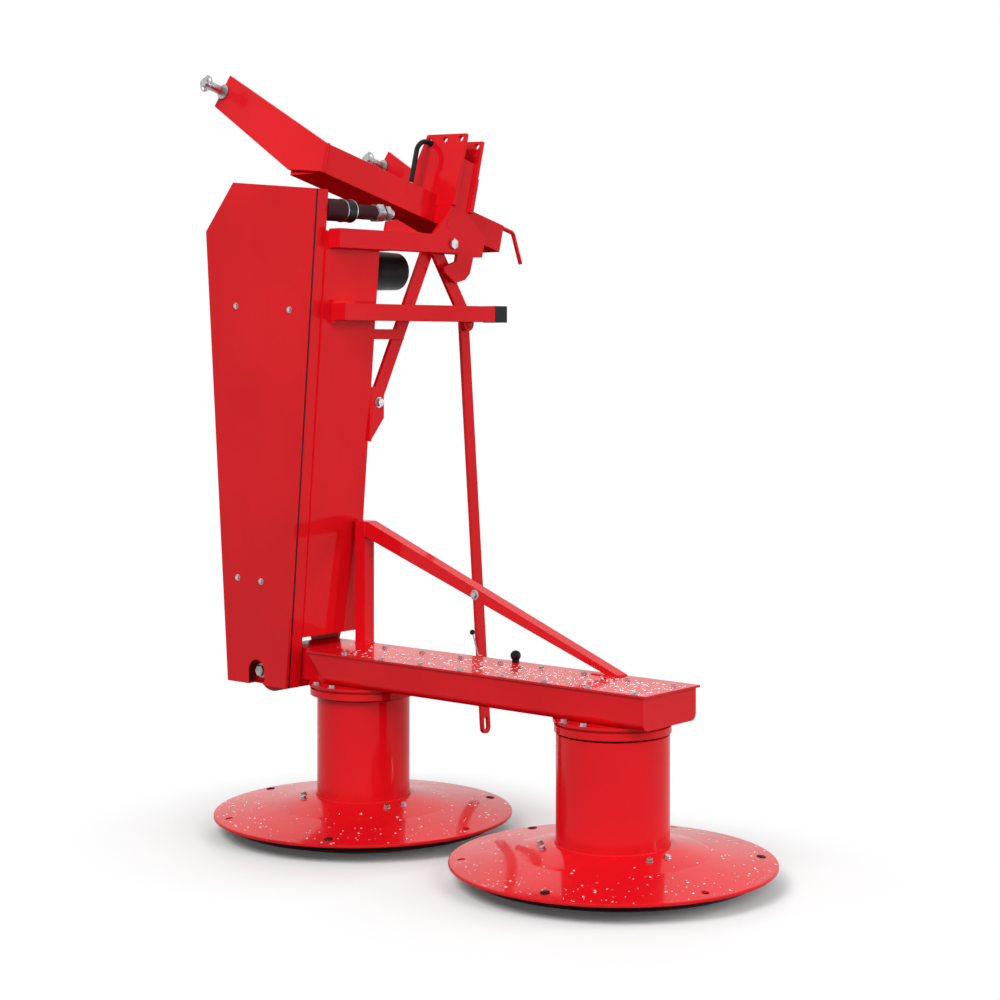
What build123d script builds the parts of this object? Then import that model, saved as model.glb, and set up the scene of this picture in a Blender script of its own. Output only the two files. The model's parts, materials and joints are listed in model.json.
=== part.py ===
from build123d import *
import math
import os

# A two-drum rotary mower for a tractor's three-point linkage, parked on its skid plates
# with the drive arm folded upright over the cutter bar. Millimetres.
# Modelling frame: the inner drum's axis is X = Y = 0 and the ground is Z = 0.
# X runs outward along the cutter bar, Y is the direction of travel, Z is up.

# Clearances
RUN_FIT = 0.05            # radial running clearance on pins and shafts
MOVE_GAP = 6.0            # least room between pieces that move past each other
SEAT_GAP = 0.3            # room left where a curved face seats on another
CUT_OVER = 1.0            # how far a cut reaches past the face that it opens

# Drums, discs, knives and skid plates
DRUM_SPACING = 925.0
DRUM_RADIUS_INNER = 136.5
DRUM_RADIUS_OUTER = 152.5
DRUM_WALL = 8.0
DRUM_FOOT_Z = 104.0
DRUM_PLATE = 12.0
SHAFT_RADIUS = 40.0
COLLAR_RADIUS = 157.0
COLLAR_HEIGHT = 34.0
COLLAR_FLANGE = 4.0       # how far the collar's upper flange stands out
COLLAR_GROOVE = 6.0
COLLAR_CHAMFER = 2.0
DISC_RADIUS = 440.0
DISC_SHEET = 5.0
DISC_CREASE_RADIUS = 262.0
DISC_CREASE_Z = 82.0
DISC_RIM_Z = 57.0
DISC_RIM_LIP = 8.0
DISC_RIM_ROUND = 2.0
DISC_SEAT = 14.0          # flat ring of the disc beyond its drum
DISC_HUB_RADIUS = 75.0
DISC_HUB_FOOT_Z = 24.0
KNIVES_PER_DISC = 3
KNIFE_BOLT_INSET = 42.0
KNIFE_BOLT_RADIUS = 9.0
KNIFE_LENGTH = 96.0
KNIFE_WIDTH = 42.0
KNIFE_THICK = 4.0
KNIFE_DROP = 7.0
DRAIN_INSET = 36.0
DRAIN_HOLE_RADIUS = 11.0
SKID_INSET = 46.0         # how far the skid bowl's rim lies inside the disc's
SKID_SLOPE_WIDTH = 94.0
SKID_RISE = 26.0
SKID_SHEET = 6.0
SKID_PIN_RADIUS = 32.0

# Cutter bar: gear case, its lid and the bevel gear housing at the inner end
CASE_BOTTOM_Z = 437.0
CASE_HEIGHT = 87.0
CASE_HALF_WIDTH = 118.0
CASE_WALL = 10.0
CASE_INNER_X = -118.0
CASE_BEVEL = 81.0
CASE_OUTER_REACH = 187.0
CASE_FOLD = 20.0          # radius of the fold along the case's lower edges
LID_THICK = 6.0
LID_OVERHANG = 5.0
NECK_FRONT_Y = -88.0
LID_END_OVERHANG = 10.0
HINGE_X = -295.0
HINGE_Z = 455.0
HOUSING_RADIUS = 68.0
TRUNNION_RADIUS = 25.0

# Triangular frame on the cutter bar
POST_X = -90.0
POST_SIZE = 40.0
POST_HEIGHT = 371.0
DIAGONAL_DEPTH = 46.0
DIAGONAL_FOOT_X = 850.0
TUBE_WALL = 4.0
BREATHER_X = 501.0
BREATHER_RADIUS = 15.0

# Drive arm: belt guard, its back plate and the box behind it
PLATE_THICK = 8.0
GUARD_DEPTH = 50.0
GUARD_SHEET = 3.0
GUARD_FOOT_Z = 415.0
GUARD_FOOT_HALF = 126.0
GUARD_SHOULDER_Z = 1780.0
GUARD_SHOULDER_LEFT = 225.0
GUARD_TOP_LEFT_IN = 103.0
GUARD_TOP_LEFT_Z = 1924.0
GUARD_TOP_RIGHT = 247.0
GUARD_TOP_RIGHT_Z = 1890.0
NOTCH_HALF = 34.0
ARM_RUNOUT = 10.0         # room between the housing's ends and the arm
ARM_FOOT_Z = 562.0
ARM_TOP_Z = 1770.0
ARM_SEAT_Z = 1700.0
ARM_RIGHT_TOP = 237.0
ARM_RIGHT_FOOT = 141.0
ARM_LEFT_TOP = 225.0
ARM_SHEET = 6.0
LUG_THICK = 10.0
LUG_RADIUS = 40.0
LUG_TOP_HALF = 85.0
LUG_WIDE_Z = 622.0
LUG_TOP_Z = 740.0

# Power input shaft and its guard
INPUT_Z = 1668.0
INPUT_RADIUS = 17.5
INPUT_LENGTH = 265.0
INPUT_BOSS_RADIUS = 74.0
INPUT_BOSS_LENGTH = 24.0
CONE_LENGTH = 300.0
CONE_RADIUS_BASE = 68.0
CONE_RADIUS_MOUTH = 60.0
CONE_WALL = 5.0

# Bar, pivot and linkage at the arm's head
BAR_BACK_X = HINGE_X + ARM_RIGHT_TOP
BAR_WIDTH = 45.0
BAR_HEIGHT = 57.0
BAR_START_Y = -86.0
BAR_BEYOND_PIVOT = 44.0
PIVOT_Y = 412.0
PIVOT_Z = 1747.0
PIVOT_RADIUS = 12.0
BOLT_HEAD_RADIUS = 17.0
BOLT_HEAD_LENGTH = 10.0
LINK_THICK = 12.0
LEVER_END_Y = 577.0
LEVER_END_Z = 1500.0
LINK_WIDTH = 46.0
LINK_PIN_RADIUS = 9.0
LINK_PIN_PROUD = 4.0      # length that the pivot bolt and the lever's pin stand out behind
BRACE_END_Y = 165.0
BRACE_END_Z = 1257.0
BRACKET_HEIGHT = 96.0
BRACKET_REACH = 60.0
BRACKET_TAPER = 70.0
CROSS_BAR_Z = 1465.0
CROSS_BAR_HEIGHT = 31.0
CROSS_BAR_LENGTH = 150.0
ROD_END_Y = 684.0
ROD_END_Z = 190.0
ROD_WIDTH = 40.0
ROD_SLOT_LENGTH = 44.0
ROD_SLOT_WIDTH = 20.0
SUPPORT_Z = 1530.0
SUPPORT_SIZE = 50.0
SUPPORT_START_Y = -64.0
SUPPORT_END_Y = 613.0
SUPPORT_SEAT_LENGTH = 88.0
SUPPORT_SEAT_HEIGHT = 70.0
CAP_LENGTH = 60.0
CAP_PROUD = 1.5
CAP_ROUND = 6.0

# Break-away spring tube over the bar
SPRING_X = -80.0
SPRING_Z = 1833.0
SPRING_SLEEVE_RADIUS = 30.0
SPRING_SLEEVE_LENGTH = 84.0
SPRING_RING_RADIUS = 33.0
SPRING_RING_LENGTH = 20.0
SPRING_TUBE_RADIUS = 22.0
SPRING_TUBE_LENGTH = 118.0
SPRING_NUT_RADIUS = 26.0
SPRING_NUT_LENGTH = 34.0
SPRING_BOLT_RADIUS = 13.0
SPRING_BOLT_LENGTH = 48.0
GUSSET_START_Y = 127.0
GUSSET_LENGTH = 156.0
GUSSET_HEIGHT = 38.0
GUSSET_THICK = 10.0
GUSSET_LEAN = 8.0

# Hitch frame, laid out about its pivot: X as above, u along the lower link pins, m across
HITCH_TILT = 14.5
PIVOT_PLATE_FRONT_X = -65.0
PIVOT_PLATE_THICK = 12.0
PIVOT_EYE_RADIUS = 34.0
FRAME_FRONT_X = -125.0
FRAME_DEPTH = 145.0
FRAME_BOTTOM_M = 80.0
FRAME_HEIGHT = 90.0
FRAME_LEFT_U = -502.0
FRAME_BEYOND_ARM = 97.0   # beam left over past the right link arm
FRAME_WALL = 8.0
LINK_PIN_SPACING = 753.0
ARM_PLATE_THICK = 14.0
ARM_TIP_X = -642.0
ARM_TIP_M = 377.0
ARM_TIP_HALF = 50.0
ARM_TIP_SLANT = 22.5
ARM_HEEL_LEFT = (0.0, 14.0)      # the lower corner of each arm: (X back, m up) from the frame's corner
ARM_HEEL_RIGHT = (60.0, 45.0)
LOWER_PIN_INSET = 12.0
LOWER_PIN_SHIFT = 6.0
LOWER_PIN_RADIUS = 14.0
LOWER_PIN_LENGTH = 92.0
LOWER_COLLAR_RADIUS = 24.0
LOWER_COLLAR_LENGTH = 8.0
MAST_NEAR_U = 20.0
MAST_GAP = 68.0
MAST_PLATE_THICK = 12.0
MAST_LAP = 4.0            # second thickness on each cheek's outside, up to MAST_SLANT_M
MAST_FRONT_X = -55.0
MAST_TOP_M = 380.0
MAST_TOP_FALL = 6.0
MAST_FOOT_M = 136.0
MAST_BACK_X = -262.0
MAST_SLANT_M = 250.0
MAST_TOP_BACK_X = -223.0
MAST_HOLE_RADIUS = 10.0
MAST_HOLE_PITCH = 68.0
MAST_HOLE_INSET = 20.0
MAST_HOLE_M = 358.0
MAST_HOLES = 3
MAST_WEB_TOP_M = 296.0
LOCK_ROD_RADIUS = 7.0
LOCK_ROD_OUT = 58.0
LOCK_ROD_SIDE = 64.0
LOCK_ROD_DROP = 88.0
HOSE_RADIUS = 8.0
HOSE_X = -200.0
HOSE_OUT = 60.0
HOSE_TOP_M = 348.0

# Hooked lower edge of the pivot plate, (u, m) points from the eye round to the frame
PIVOT_HOOK = [
    (-34.0, -12.0),
    (-14.0, -26.0),
    (10.0, -26.0),
    (87.0, -8.0),
    (87.0, -30.0),
    (33.0, -64.0),
    (43.0, -79.0),
    (101.0, -97.0),
    (142.0, -75.0),
    (159.0, -49.0),
    (162.0, 5.0),
    (203.0, 17.0),
    (203.0, 80.0),
]
PIVOT_EYE_TOP = 30.0

# Worked-out places
CASE_TOP_Z = CASE_BOTTOM_Z + CASE_HEIGHT
LID_TOP_Z = CASE_TOP_Z + LID_THICK
CASE_OUTER_X = DRUM_SPACING + CASE_OUTER_REACH
LID_HALF_WIDTH = CASE_HALF_WIDTH + LID_OVERHANG
DRUM_TOP_Z = CASE_BOTTOM_Z - COLLAR_HEIGHT - MOVE_GAP
KNIFE_BOLT_CIRCLE = DISC_RADIUS - KNIFE_BOLT_INSET
DRAIN_CIRCLE = DISC_RADIUS - DRAIN_INSET
SKID_RADIUS = DISC_RADIUS - SKID_INSET
SKID_FLAT_RADIUS = SKID_RADIUS - SKID_SLOPE_WIDTH
ARM_BACK_Y = CASE_HALF_WIDTH + ARM_RUNOUT
PLATE_BACK_Y = NECK_FRONT_Y - ARM_RUNOUT
PLATE_FRONT_Y = PLATE_BACK_Y - PLATE_THICK
GUARD_FACE_Y = PLATE_FRONT_Y - GUARD_DEPTH
BAR_FRONT_X = BAR_BACK_X + BAR_WIDTH
PIVOT_PLATE_BACK_X = PIVOT_PLATE_FRONT_X - PIVOT_PLATE_THICK
LEVER_FRONT_X = PIVOT_PLATE_BACK_X - 2 * MOVE_GAP
LEVER_BACK_X = LEVER_FRONT_X - LINK_THICK
BRACE_FRONT_X = LEVER_BACK_X - MOVE_GAP
BRACE_BACK_X = BRACE_FRONT_X - LINK_THICK
SUPPORT_BACK_X = PIVOT_PLATE_FRONT_X + MOVE_GAP
FRAME_BACK_X = FRAME_FRONT_X - FRAME_DEPTH
FRAME_TOP_M = FRAME_BOTTOM_M + FRAME_HEIGHT
RIGHT_ARM_U = FRAME_LEFT_U + LINK_PIN_SPACING
FRAME_RIGHT_U = RIGHT_ARM_U + FRAME_BEYOND_ARM
MAST_FAR_U = MAST_NEAR_U + MAST_PLATE_THICK + MAST_GAP

# name, axis X, drum radius, angle of the first knife
DRUMS = [
    ("inner", 0.0, DRUM_RADIUS_INNER, -60.0),
    ("outer", DRUM_SPACING, DRUM_RADIUS_OUTER, -78.0),
]


def slab_xz(points, y_low, y_high):
    """An outline of (x, z) points made into a plate between two Y values."""
    face = Plane((0, y_low, 0), x_dir=(1, 0, 0), z_dir=(0, -1, 0)) * make_face(Polyline(*points, close=True))
    return extrude(face, amount=y_high - y_low, dir=(0, 1, 0))


def slab_yz(points, x_low, x_high):
    """An outline of (y, z) points made into a plate between two X values."""
    face = Plane((x_low, 0, 0), x_dir=(0, 1, 0), z_dir=(1, 0, 0)) * make_face(Polyline(*points, close=True))
    return extrude(face, amount=x_high - x_low, dir=(1, 0, 0))


def slab_xy(points, z_low, z_high):
    """An outline of (x, y) points made into a plate between two Z values."""
    face = Plane((0, 0, z_low)) * make_face(Polyline(*points, close=True))
    return extrude(face, amount=z_high - z_low, dir=(0, 0, 1))


def block(x_low, x_high, y_low, y_high, z_low, z_high):
    """A box given by its limits along each axis."""
    middle = Pos((x_low + x_high) / 2, (y_low + y_high) / 2, (z_low + z_high) / 2)
    return middle * Box(x_high - x_low, y_high - y_low, z_high - z_low)


def rod_x(y, z, radius, x_low, x_high):
    """A round bar along X."""
    return Pos((x_low + x_high) / 2, y, z) * Rot(0, 90, 0) * Cylinder(radius, x_high - x_low)


def rod_y(x, z, radius, y_low, y_high):
    """A round bar along Y."""
    return Pos(x, (y_low + y_high) / 2, z) * Rot(90, 0, 0) * Cylinder(radius, y_high - y_low)


def turned(profile, x):
    """A profile of (radius, z) points turned about the upright axis at X = x."""
    return Pos(x, 0, 0) * revolve(Plane.XZ * make_face(Polyline(*profile, close=True)), axis=Axis.Z)


def flat_link(start, end, width, hole_radius, x_low, x_high):
    """A flat bar with round ends and an eye at its start, in a plane across X."""
    length = math.dist(start, end)
    angle = math.degrees(math.atan2(end[1] - start[1], end[0] - start[0]))
    outline = SlotCenterToCenter(length, width) - Pos(-length / 2, 0) * Circle(hole_radius)
    middle = Pos((start[0] + end[0]) / 2, (start[1] + end[1]) / 2)
    face = Plane((x_low, 0, 0), x_dir=(0, 1, 0), z_dir=(1, 0, 0)) * middle * Rot(0, 0, angle) * outline
    return extrude(face, amount=x_high - x_low, dir=(1, 0, 0))


def round_bar(points, bend_radius, radius):
    """A bent round bar that follows straight runs joined by arcs."""
    path = FilletPolyline(*points, radius=bend_radius)
    section = Plane(path @ 0, z_dir=path % 0) * Circle(radius)
    return sweep(section, path=path)


# Cutter bar

def gear_case():
    """The long trough that holds the gear train, bevelled under its inner end."""
    side = [
        (CASE_INNER_X, CASE_TOP_Z),
        (CASE_INNER_X + CASE_BEVEL, CASE_BOTTOM_Z),
        (CASE_OUTER_X, CASE_BOTTOM_Z),
        (CASE_OUTER_X, CASE_TOP_Z),
    ]
    body = slab_xz(side, -CASE_HALF_WIDTH, CASE_HALF_WIDTH)
    folds = body.edges().filter_by(Axis.X).sort_by(Axis.Z)[:2]
    body = fillet(folds, CASE_FOLD)
    inside = CASE_HALF_WIDTH - CASE_WALL
    hollow = block(CASE_INNER_X + CASE_BEVEL + CASE_WALL, CASE_OUTER_X - CASE_WALL,
                   -inside, inside, CASE_BOTTOM_Z + CASE_WALL, CASE_TOP_Z)
    return body - hollow


def gear_case_lid():
    """The sheet lid over the case, with a tongue over the bevel gear housing."""
    outline = [
        (HINGE_X + LUG_RADIUS, NECK_FRONT_Y),
        (CASE_INNER_X, NECK_FRONT_Y),
        (CASE_INNER_X, -LID_HALF_WIDTH),
        (CASE_OUTER_X + LID_END_OVERHANG, -LID_HALF_WIDTH),
        (CASE_OUTER_X + LID_END_OVERHANG, LID_HALF_WIDTH),
        (HINGE_X + LUG_RADIUS, LID_HALF_WIDTH),
    ]
    return slab_xy(outline, CASE_TOP_Z, LID_TOP_Z)


def bevel_housing():
    """The bevel gear housing at the inner end, with the two trunnions that the arm swings on."""
    back_y = CASE_HALF_WIDTH
    outline = [
        (HINGE_X, CASE_BOTTOM_Z),
        (CASE_INNER_X + CASE_BEVEL, CASE_BOTTOM_Z),
        (CASE_INNER_X, CASE_TOP_Z),
        (HINGE_X, CASE_TOP_Z),
    ]
    body = slab_xz(outline, NECK_FRONT_Y, back_y)
    body += rod_y(HINGE_X, HINGE_Z, HOUSING_RADIUS, NECK_FRONT_Y, back_y)
    body += rod_y(HINGE_X, HINGE_Z, TRUNNION_RADIUS, PLATE_FRONT_Y - GUARD_DEPTH / 2, NECK_FRONT_Y)
    body += rod_y(HINGE_X, HINGE_Z, TRUNNION_RADIUS, back_y, ARM_BACK_Y + LUG_THICK + MOVE_GAP)
    case_side = slab_xz([(CASE_INNER_X, CASE_TOP_Z), (CASE_INNER_X + CASE_BEVEL, CASE_BOTTOM_Z),
                         (CASE_INNER_X + CASE_BEVEL, CASE_TOP_Z)], NECK_FRONT_Y, back_y)
    return body - case_side


def bearing_neck(x):
    """The collar bolted under the case and the fixed shaft that the drum turns on."""
    groove_z = CASE_BOTTOM_Z - COLLAR_HEIGHT / 3
    groove_radius = COLLAR_RADIUS - COLLAR_GROOVE
    flange_radius = COLLAR_RADIUS + COLLAR_FLANGE
    profile = [
        (0, CASE_BOTTOM_Z),
        (flange_radius, CASE_BOTTOM_Z),
        (flange_radius, groove_z + 2 * COLLAR_CHAMFER),
        (groove_radius, groove_z + COLLAR_CHAMFER),
        (groove_radius, groove_z - COLLAR_CHAMFER),
        (COLLAR_RADIUS, groove_z - 2 * COLLAR_CHAMFER),
        (COLLAR_RADIUS, CASE_BOTTOM_Z - COLLAR_HEIGHT),
        (SHAFT_RADIUS, CASE_BOTTOM_Z - COLLAR_HEIGHT),
        (SHAFT_RADIUS, DRUM_FOOT_Z + DRUM_PLATE / 3),
        (0, DRUM_FOOT_Z + DRUM_PLATE / 3),
    ]
    return turned(profile, x)


def frame_post():
    """The square tube that stands on the lid beside the arm."""
    half = POST_SIZE / 2
    back_y = CASE_HALF_WIDTH
    tube = block(POST_X - half, POST_X + half, back_y - POST_SIZE, back_y, LID_TOP_Z, LID_TOP_Z + POST_HEIGHT)
    inside = block(POST_X - half + TUBE_WALL, POST_X + half - TUBE_WALL, back_y - POST_SIZE + TUBE_WALL,
                   back_y - TUBE_WALL, LID_TOP_Z, LID_TOP_Z + POST_HEIGHT - TUBE_WALL)
    return tube - inside


def frame_diagonal():
    """The sloping bar from the post's head down to the lid."""
    start_x = POST_X + POST_SIZE / 2
    head_z = LID_TOP_Z + POST_HEIGHT
    drop = head_z - DIAGONAL_DEPTH - LID_TOP_Z
    slope = drop / (DIAGONAL_FOOT_X - start_x)
    outline = [
        (start_x, head_z - DIAGONAL_DEPTH),
        (start_x, head_z),
        (start_x + DIAGONAL_DEPTH / 6, head_z),
        (DIAGONAL_FOOT_X + DIAGONAL_DEPTH / slope * 0.25, LID_TOP_Z + DIAGONAL_DEPTH * 0.1),
        (DIAGONAL_FOOT_X + DIAGONAL_DEPTH / slope * 0.25, LID_TOP_Z),
        (DIAGONAL_FOOT_X, LID_TOP_Z),
    ]
    return slab_xz(outline, CASE_HALF_WIDTH - POST_SIZE, CASE_HALF_WIDTH)


def breather():
    """The vent knob on the lid."""
    stem = Pos(BREATHER_X, CASE_HALF_WIDTH - BREATHER_RADIUS, LID_TOP_Z)
    body = stem * Pos(0, 0, 1.3 * BREATHER_RADIUS) * Sphere(BREATHER_RADIUS)
    body += stem * Pos(0, 0, BREATHER_RADIUS / 2) * Cylinder(BREATHER_RADIUS * 0.7, BREATHER_RADIUS)
    return body


# Drums and what turns with them

def drum(x, radius):
    """The hollow drum with the end plates that run on the fixed shaft."""
    bore = SHAFT_RADIUS + RUN_FIT
    inner = radius - DRUM_WALL
    profile = [
        (bore, DRUM_FOOT_Z),
        (radius, DRUM_FOOT_Z),
        (radius, DRUM_TOP_Z),
        (bore, DRUM_TOP_Z),
        (bore, DRUM_TOP_Z - DRUM_PLATE),
        (inner, DRUM_TOP_Z - DRUM_PLATE),
        (inner, DRUM_FOOT_Z + DRUM_PLATE),
        (bore, DRUM_FOOT_Z + DRUM_PLATE),
    ]
    return turned(profile, x)


def disc_underside(radius):
    """Height of the disc's lower face on its outer cone."""
    share = (radius - DISC_CREASE_RADIUS) / (DISC_RADIUS - DISC_SHEET - DISC_CREASE_RADIUS)
    return DISC_CREASE_Z + (DISC_RIM_Z - DISC_CREASE_Z) * share - DISC_SHEET


def disc(x, drum_radius, first_angle):
    """The dished disc under a drum, creased once, with a turned-down rim and drain holes."""
    bore = SKID_PIN_RADIUS + RUN_FIT
    flat = drum_radius + DISC_SEAT
    profile = [
        (bore, DISC_HUB_FOOT_Z),
        (DISC_HUB_RADIUS, DISC_HUB_FOOT_Z),
        (DISC_HUB_RADIUS, DRUM_FOOT_Z - DISC_SHEET),
        (flat, DRUM_FOOT_Z - DISC_SHEET),
        (DISC_CREASE_RADIUS, DISC_CREASE_Z - DISC_SHEET),
        (DISC_RADIUS - DISC_SHEET, DISC_RIM_Z - DISC_SHEET),
        (DISC_RADIUS - DISC_SHEET, DISC_RIM_Z - DISC_RIM_LIP),
        (DISC_RADIUS, DISC_RIM_Z - DISC_RIM_LIP),
        (DISC_RADIUS, DISC_RIM_Z - DISC_RIM_ROUND),
        (DISC_RADIUS - DISC_RIM_ROUND, DISC_RIM_Z),
        (DISC_CREASE_RADIUS, DISC_CREASE_Z),
        (flat, DRUM_FOOT_Z),
        (bore, DRUM_FOOT_Z),
    ]
    body = turned(profile, x)
    for index in range(KNIVES_PER_DISC):
        angle = math.radians(first_angle + (index + 0.5) * 360 / KNIVES_PER_DISC)
        place = Pos(x + DRAIN_CIRCLE * math.cos(angle), DRAIN_CIRCLE * math.sin(angle), DISC_RIM_Z)
        body -= place * Cylinder(DRAIN_HOLE_RADIUS, 4 * DISC_SHEET)
    return body


def knives(x, first_angle):
    """The knives, each hung on its bolt under the rim and swung in along the rim."""
    seat = disc_underside(KNIFE_BOLT_CIRCLE + KNIFE_BOLT_RADIUS)
    bolt_length = KNIFE_DROP - SEAT_GAP
    reach = KNIFE_LENGTH - KNIFE_WIDTH
    group = []
    for index in range(KNIVES_PER_DISC):
        angle = first_angle + index * 360 / KNIVES_PER_DISC
        place = Pos(x, 0, seat - KNIFE_DROP) * Rot(0, 0, angle) * Pos(KNIFE_BOLT_CIRCLE, 0, 0)
        blade = extrude(Pos(0, reach / 2) * Rot(0, 0, 90) * SlotCenterToCenter(reach, KNIFE_WIDTH), -KNIFE_THICK)
        bolt = Pos(0, 0, bolt_length / 2) * Cylinder(KNIFE_BOLT_RADIUS, bolt_length)
        group.append(place * (blade + bolt))
    return Compound(children=[solid for piece in group for solid in piece.solids()])


def skid(x):
    """The bowl that slides on the ground, carried by its pin in the disc's hub."""
    slope = SKID_RISE / (SKID_RADIUS - SKID_FLAT_RADIUS)
    pin_top = DRUM_FOOT_Z - DISC_SHEET
    profile = [
        (0, 0),
        (SKID_FLAT_RADIUS, 0),
        (SKID_RADIUS, SKID_RISE),
        (SKID_RADIUS - SKID_SHEET * slope, SKID_RISE + SKID_SHEET),
        (SKID_FLAT_RADIUS - SKID_SHEET * slope, SKID_SHEET),
        (SKID_PIN_RADIUS, SKID_SHEET),
        (SKID_PIN_RADIUS, pin_top),
        (0, pin_top),
    ]
    return turned(profile, x)


# Drive arm

def guard_outline(inset):
    """Outline of the belt guard in (x, z), pulled in all round by the inset."""
    return [
        (HINGE_X - GUARD_FOOT_HALF + inset, GUARD_FOOT_Z + inset),
        (HINGE_X - GUARD_SHOULDER_LEFT + inset, GUARD_SHOULDER_Z),
        (HINGE_X - GUARD_TOP_LEFT_IN + inset / 2, GUARD_TOP_LEFT_Z - inset),
        (HINGE_X + GUARD_TOP_RIGHT - inset, GUARD_TOP_RIGHT_Z - inset),
        (HINGE_X + GUARD_FOOT_HALF - inset, GUARD_FOOT_Z + inset),
    ]


def notch(y_low, y_high):
    """The inverted-U cut that lets the guard drop over the lower shaft."""
    slot = block(HINGE_X - NOTCH_HALF, HINGE_X + NOTCH_HALF, y_low, y_high, GUARD_FOOT_Z - NOTCH_HALF, HINGE_Z)
    return slot + rod_y(HINGE_X, HINGE_Z, NOTCH_HALF, y_low, y_high)


def belt_guard():
    """The sheet tray over the belt and pulleys."""
    tray = slab_xz(guard_outline(0), GUARD_FACE_Y, PLATE_FRONT_Y)
    tray -= slab_xz(guard_outline(GUARD_SHEET), GUARD_FACE_Y + GUARD_SHEET, PLATE_FRONT_Y)
    return tray - notch(GUARD_FACE_Y - CUT_OVER, PLATE_FRONT_Y - GUARD_DEPTH / 2)


def belt_back_plate():
    """The plate behind the belt, which also carries the front trunnion."""
    plate = slab_xz(guard_outline(0), PLATE_FRONT_Y, PLATE_BACK_Y)
    return plate - rod_y(HINGE_X, HINGE_Z, TRUNNION_RADIUS + RUN_FIT,
                         PLATE_FRONT_Y - CUT_OVER, PLATE_BACK_Y + CUT_OVER)


def arm_outline(inset):
    """Outline of the arm box in (x, z), with an upright seat for the bar at its head."""
    return [
        (HINGE_X - ARM_RIGHT_FOOT + inset, ARM_FOOT_Z + inset),
        (HINGE_X - ARM_LEFT_TOP + inset, ARM_TOP_Z - inset),
        (HINGE_X + ARM_RIGHT_TOP - inset, ARM_TOP_Z - inset),
        (HINGE_X + ARM_RIGHT_TOP - inset, ARM_SEAT_Z),
        (HINGE_X + ARM_RIGHT_FOOT - inset, ARM_FOOT_Z + inset),
    ]


def arm_side_x(z):
    """X of the arm box's outer side panel at a height below its seat."""
    share = (ARM_SEAT_Z - z) / (ARM_SEAT_Z - ARM_FOOT_Z)
    return HINGE_X + ARM_RIGHT_TOP - (ARM_RIGHT_TOP - ARM_RIGHT_FOOT) * share


def arm_box():
    """The folded sheet box of the arm, closed in front by the belt back plate."""
    box = slab_xz(arm_outline(0), PLATE_BACK_Y, ARM_BACK_Y)
    return box - slab_xz(arm_outline(ARM_SHEET), PLATE_BACK_Y, ARM_BACK_Y - ARM_SHEET)


def rear_lug():
    """The lug on the arm's back that carries the rear trunnion."""
    outline = [
        (HINGE_X - LUG_RADIUS, HINGE_Z),
        (HINGE_X - LUG_TOP_HALF, LUG_WIDE_Z),
        (HINGE_X - LUG_TOP_HALF, LUG_TOP_Z),
        (HINGE_X + LUG_TOP_HALF, LUG_TOP_Z),
        (HINGE_X + LUG_TOP_HALF, LUG_WIDE_Z),
        (HINGE_X + LUG_RADIUS, HINGE_Z),
    ]
    lug = slab_xz(outline, ARM_BACK_Y, ARM_BACK_Y + LUG_THICK)
    lug += rod_y(HINGE_X, HINGE_Z, LUG_RADIUS, ARM_BACK_Y, ARM_BACK_Y + LUG_THICK)
    bore = rod_y(HINGE_X, HINGE_Z, TRUNNION_RADIUS + RUN_FIT,
                 ARM_BACK_Y - CUT_OVER, ARM_BACK_Y + LUG_THICK + CUT_OVER)
    return lug - bore


def input_shaft():
    """The bearing boss on the arm's back and the power input shaft."""
    boss_end = ARM_BACK_Y + INPUT_BOSS_LENGTH
    body = rod_y(HINGE_X, INPUT_Z, INPUT_BOSS_RADIUS, ARM_BACK_Y, boss_end)
    return body + rod_y(HINGE_X, INPUT_Z, INPUT_RADIUS, boss_end, boss_end + INPUT_LENGTH)


def input_guard():
    """The open plastic cone around the power input shaft."""
    start = ARM_BACK_Y + INPUT_BOSS_LENGTH
    outer = Cone(CONE_RADIUS_BASE, CONE_RADIUS_MOUTH, CONE_LENGTH)
    inner = Cone(CONE_RADIUS_BASE - CONE_WALL, CONE_RADIUS_MOUTH - CONE_WALL, CONE_LENGTH)
    return Pos(HINGE_X, start + CONE_LENGTH / 2, INPUT_Z) * Rot(-90, 0, 0) * (outer - inner)


def head_bar():
    """The square-section bar along the arm's head that ends at the hitch pivot."""
    end_y = PIVOT_Y + BAR_BEYOND_PIVOT
    low_z = PIVOT_Z - BAR_HEIGHT / 2
    bar = block(BAR_BACK_X, BAR_FRONT_X, BAR_START_Y, end_y, low_z, low_z + BAR_HEIGHT)
    return bar - rod_x(PIVOT_Y, PIVOT_Z, PIVOT_RADIUS + RUN_FIT, BAR_BACK_X - CUT_OVER, BAR_FRONT_X + CUT_OVER)


def pivot_bolt():
    """The bolt that the hitch turns on, through the bar, the lever and the brace."""
    body = rod_x(PIVOT_Y, PIVOT_Z, PIVOT_RADIUS, BRACE_BACK_X - LINK_PIN_PROUD, BAR_FRONT_X)
    head = extrude(Plane((BAR_FRONT_X, PIVOT_Y, PIVOT_Z), z_dir=(1, 0, 0)) *
                   RegularPolygon(BOLT_HEAD_RADIUS, 6), BOLT_HEAD_LENGTH)
    return body + head


def lift_lever():
    """The lever behind the bar that the lift rod hangs from."""
    lever = flat_link((PIVOT_Y, PIVOT_Z), (LEVER_END_Y, LEVER_END_Z), LINK_WIDTH, PIVOT_RADIUS + RUN_FIT,
                      LEVER_BACK_X, LEVER_FRONT_X)
    return lever + rod_x(LEVER_END_Y, LEVER_END_Z, LINK_PIN_RADIUS, BRACE_BACK_X - LINK_PIN_PROUD, LEVER_BACK_X)


def brace():
    """The strut from the pivot down to the arm's back edge."""
    return flat_link((PIVOT_Y, PIVOT_Z), (BRACE_END_Y, BRACE_END_Z), LINK_WIDTH, PIVOT_RADIUS + RUN_FIT,
                     BRACE_BACK_X, BRACE_FRONT_X)


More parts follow.
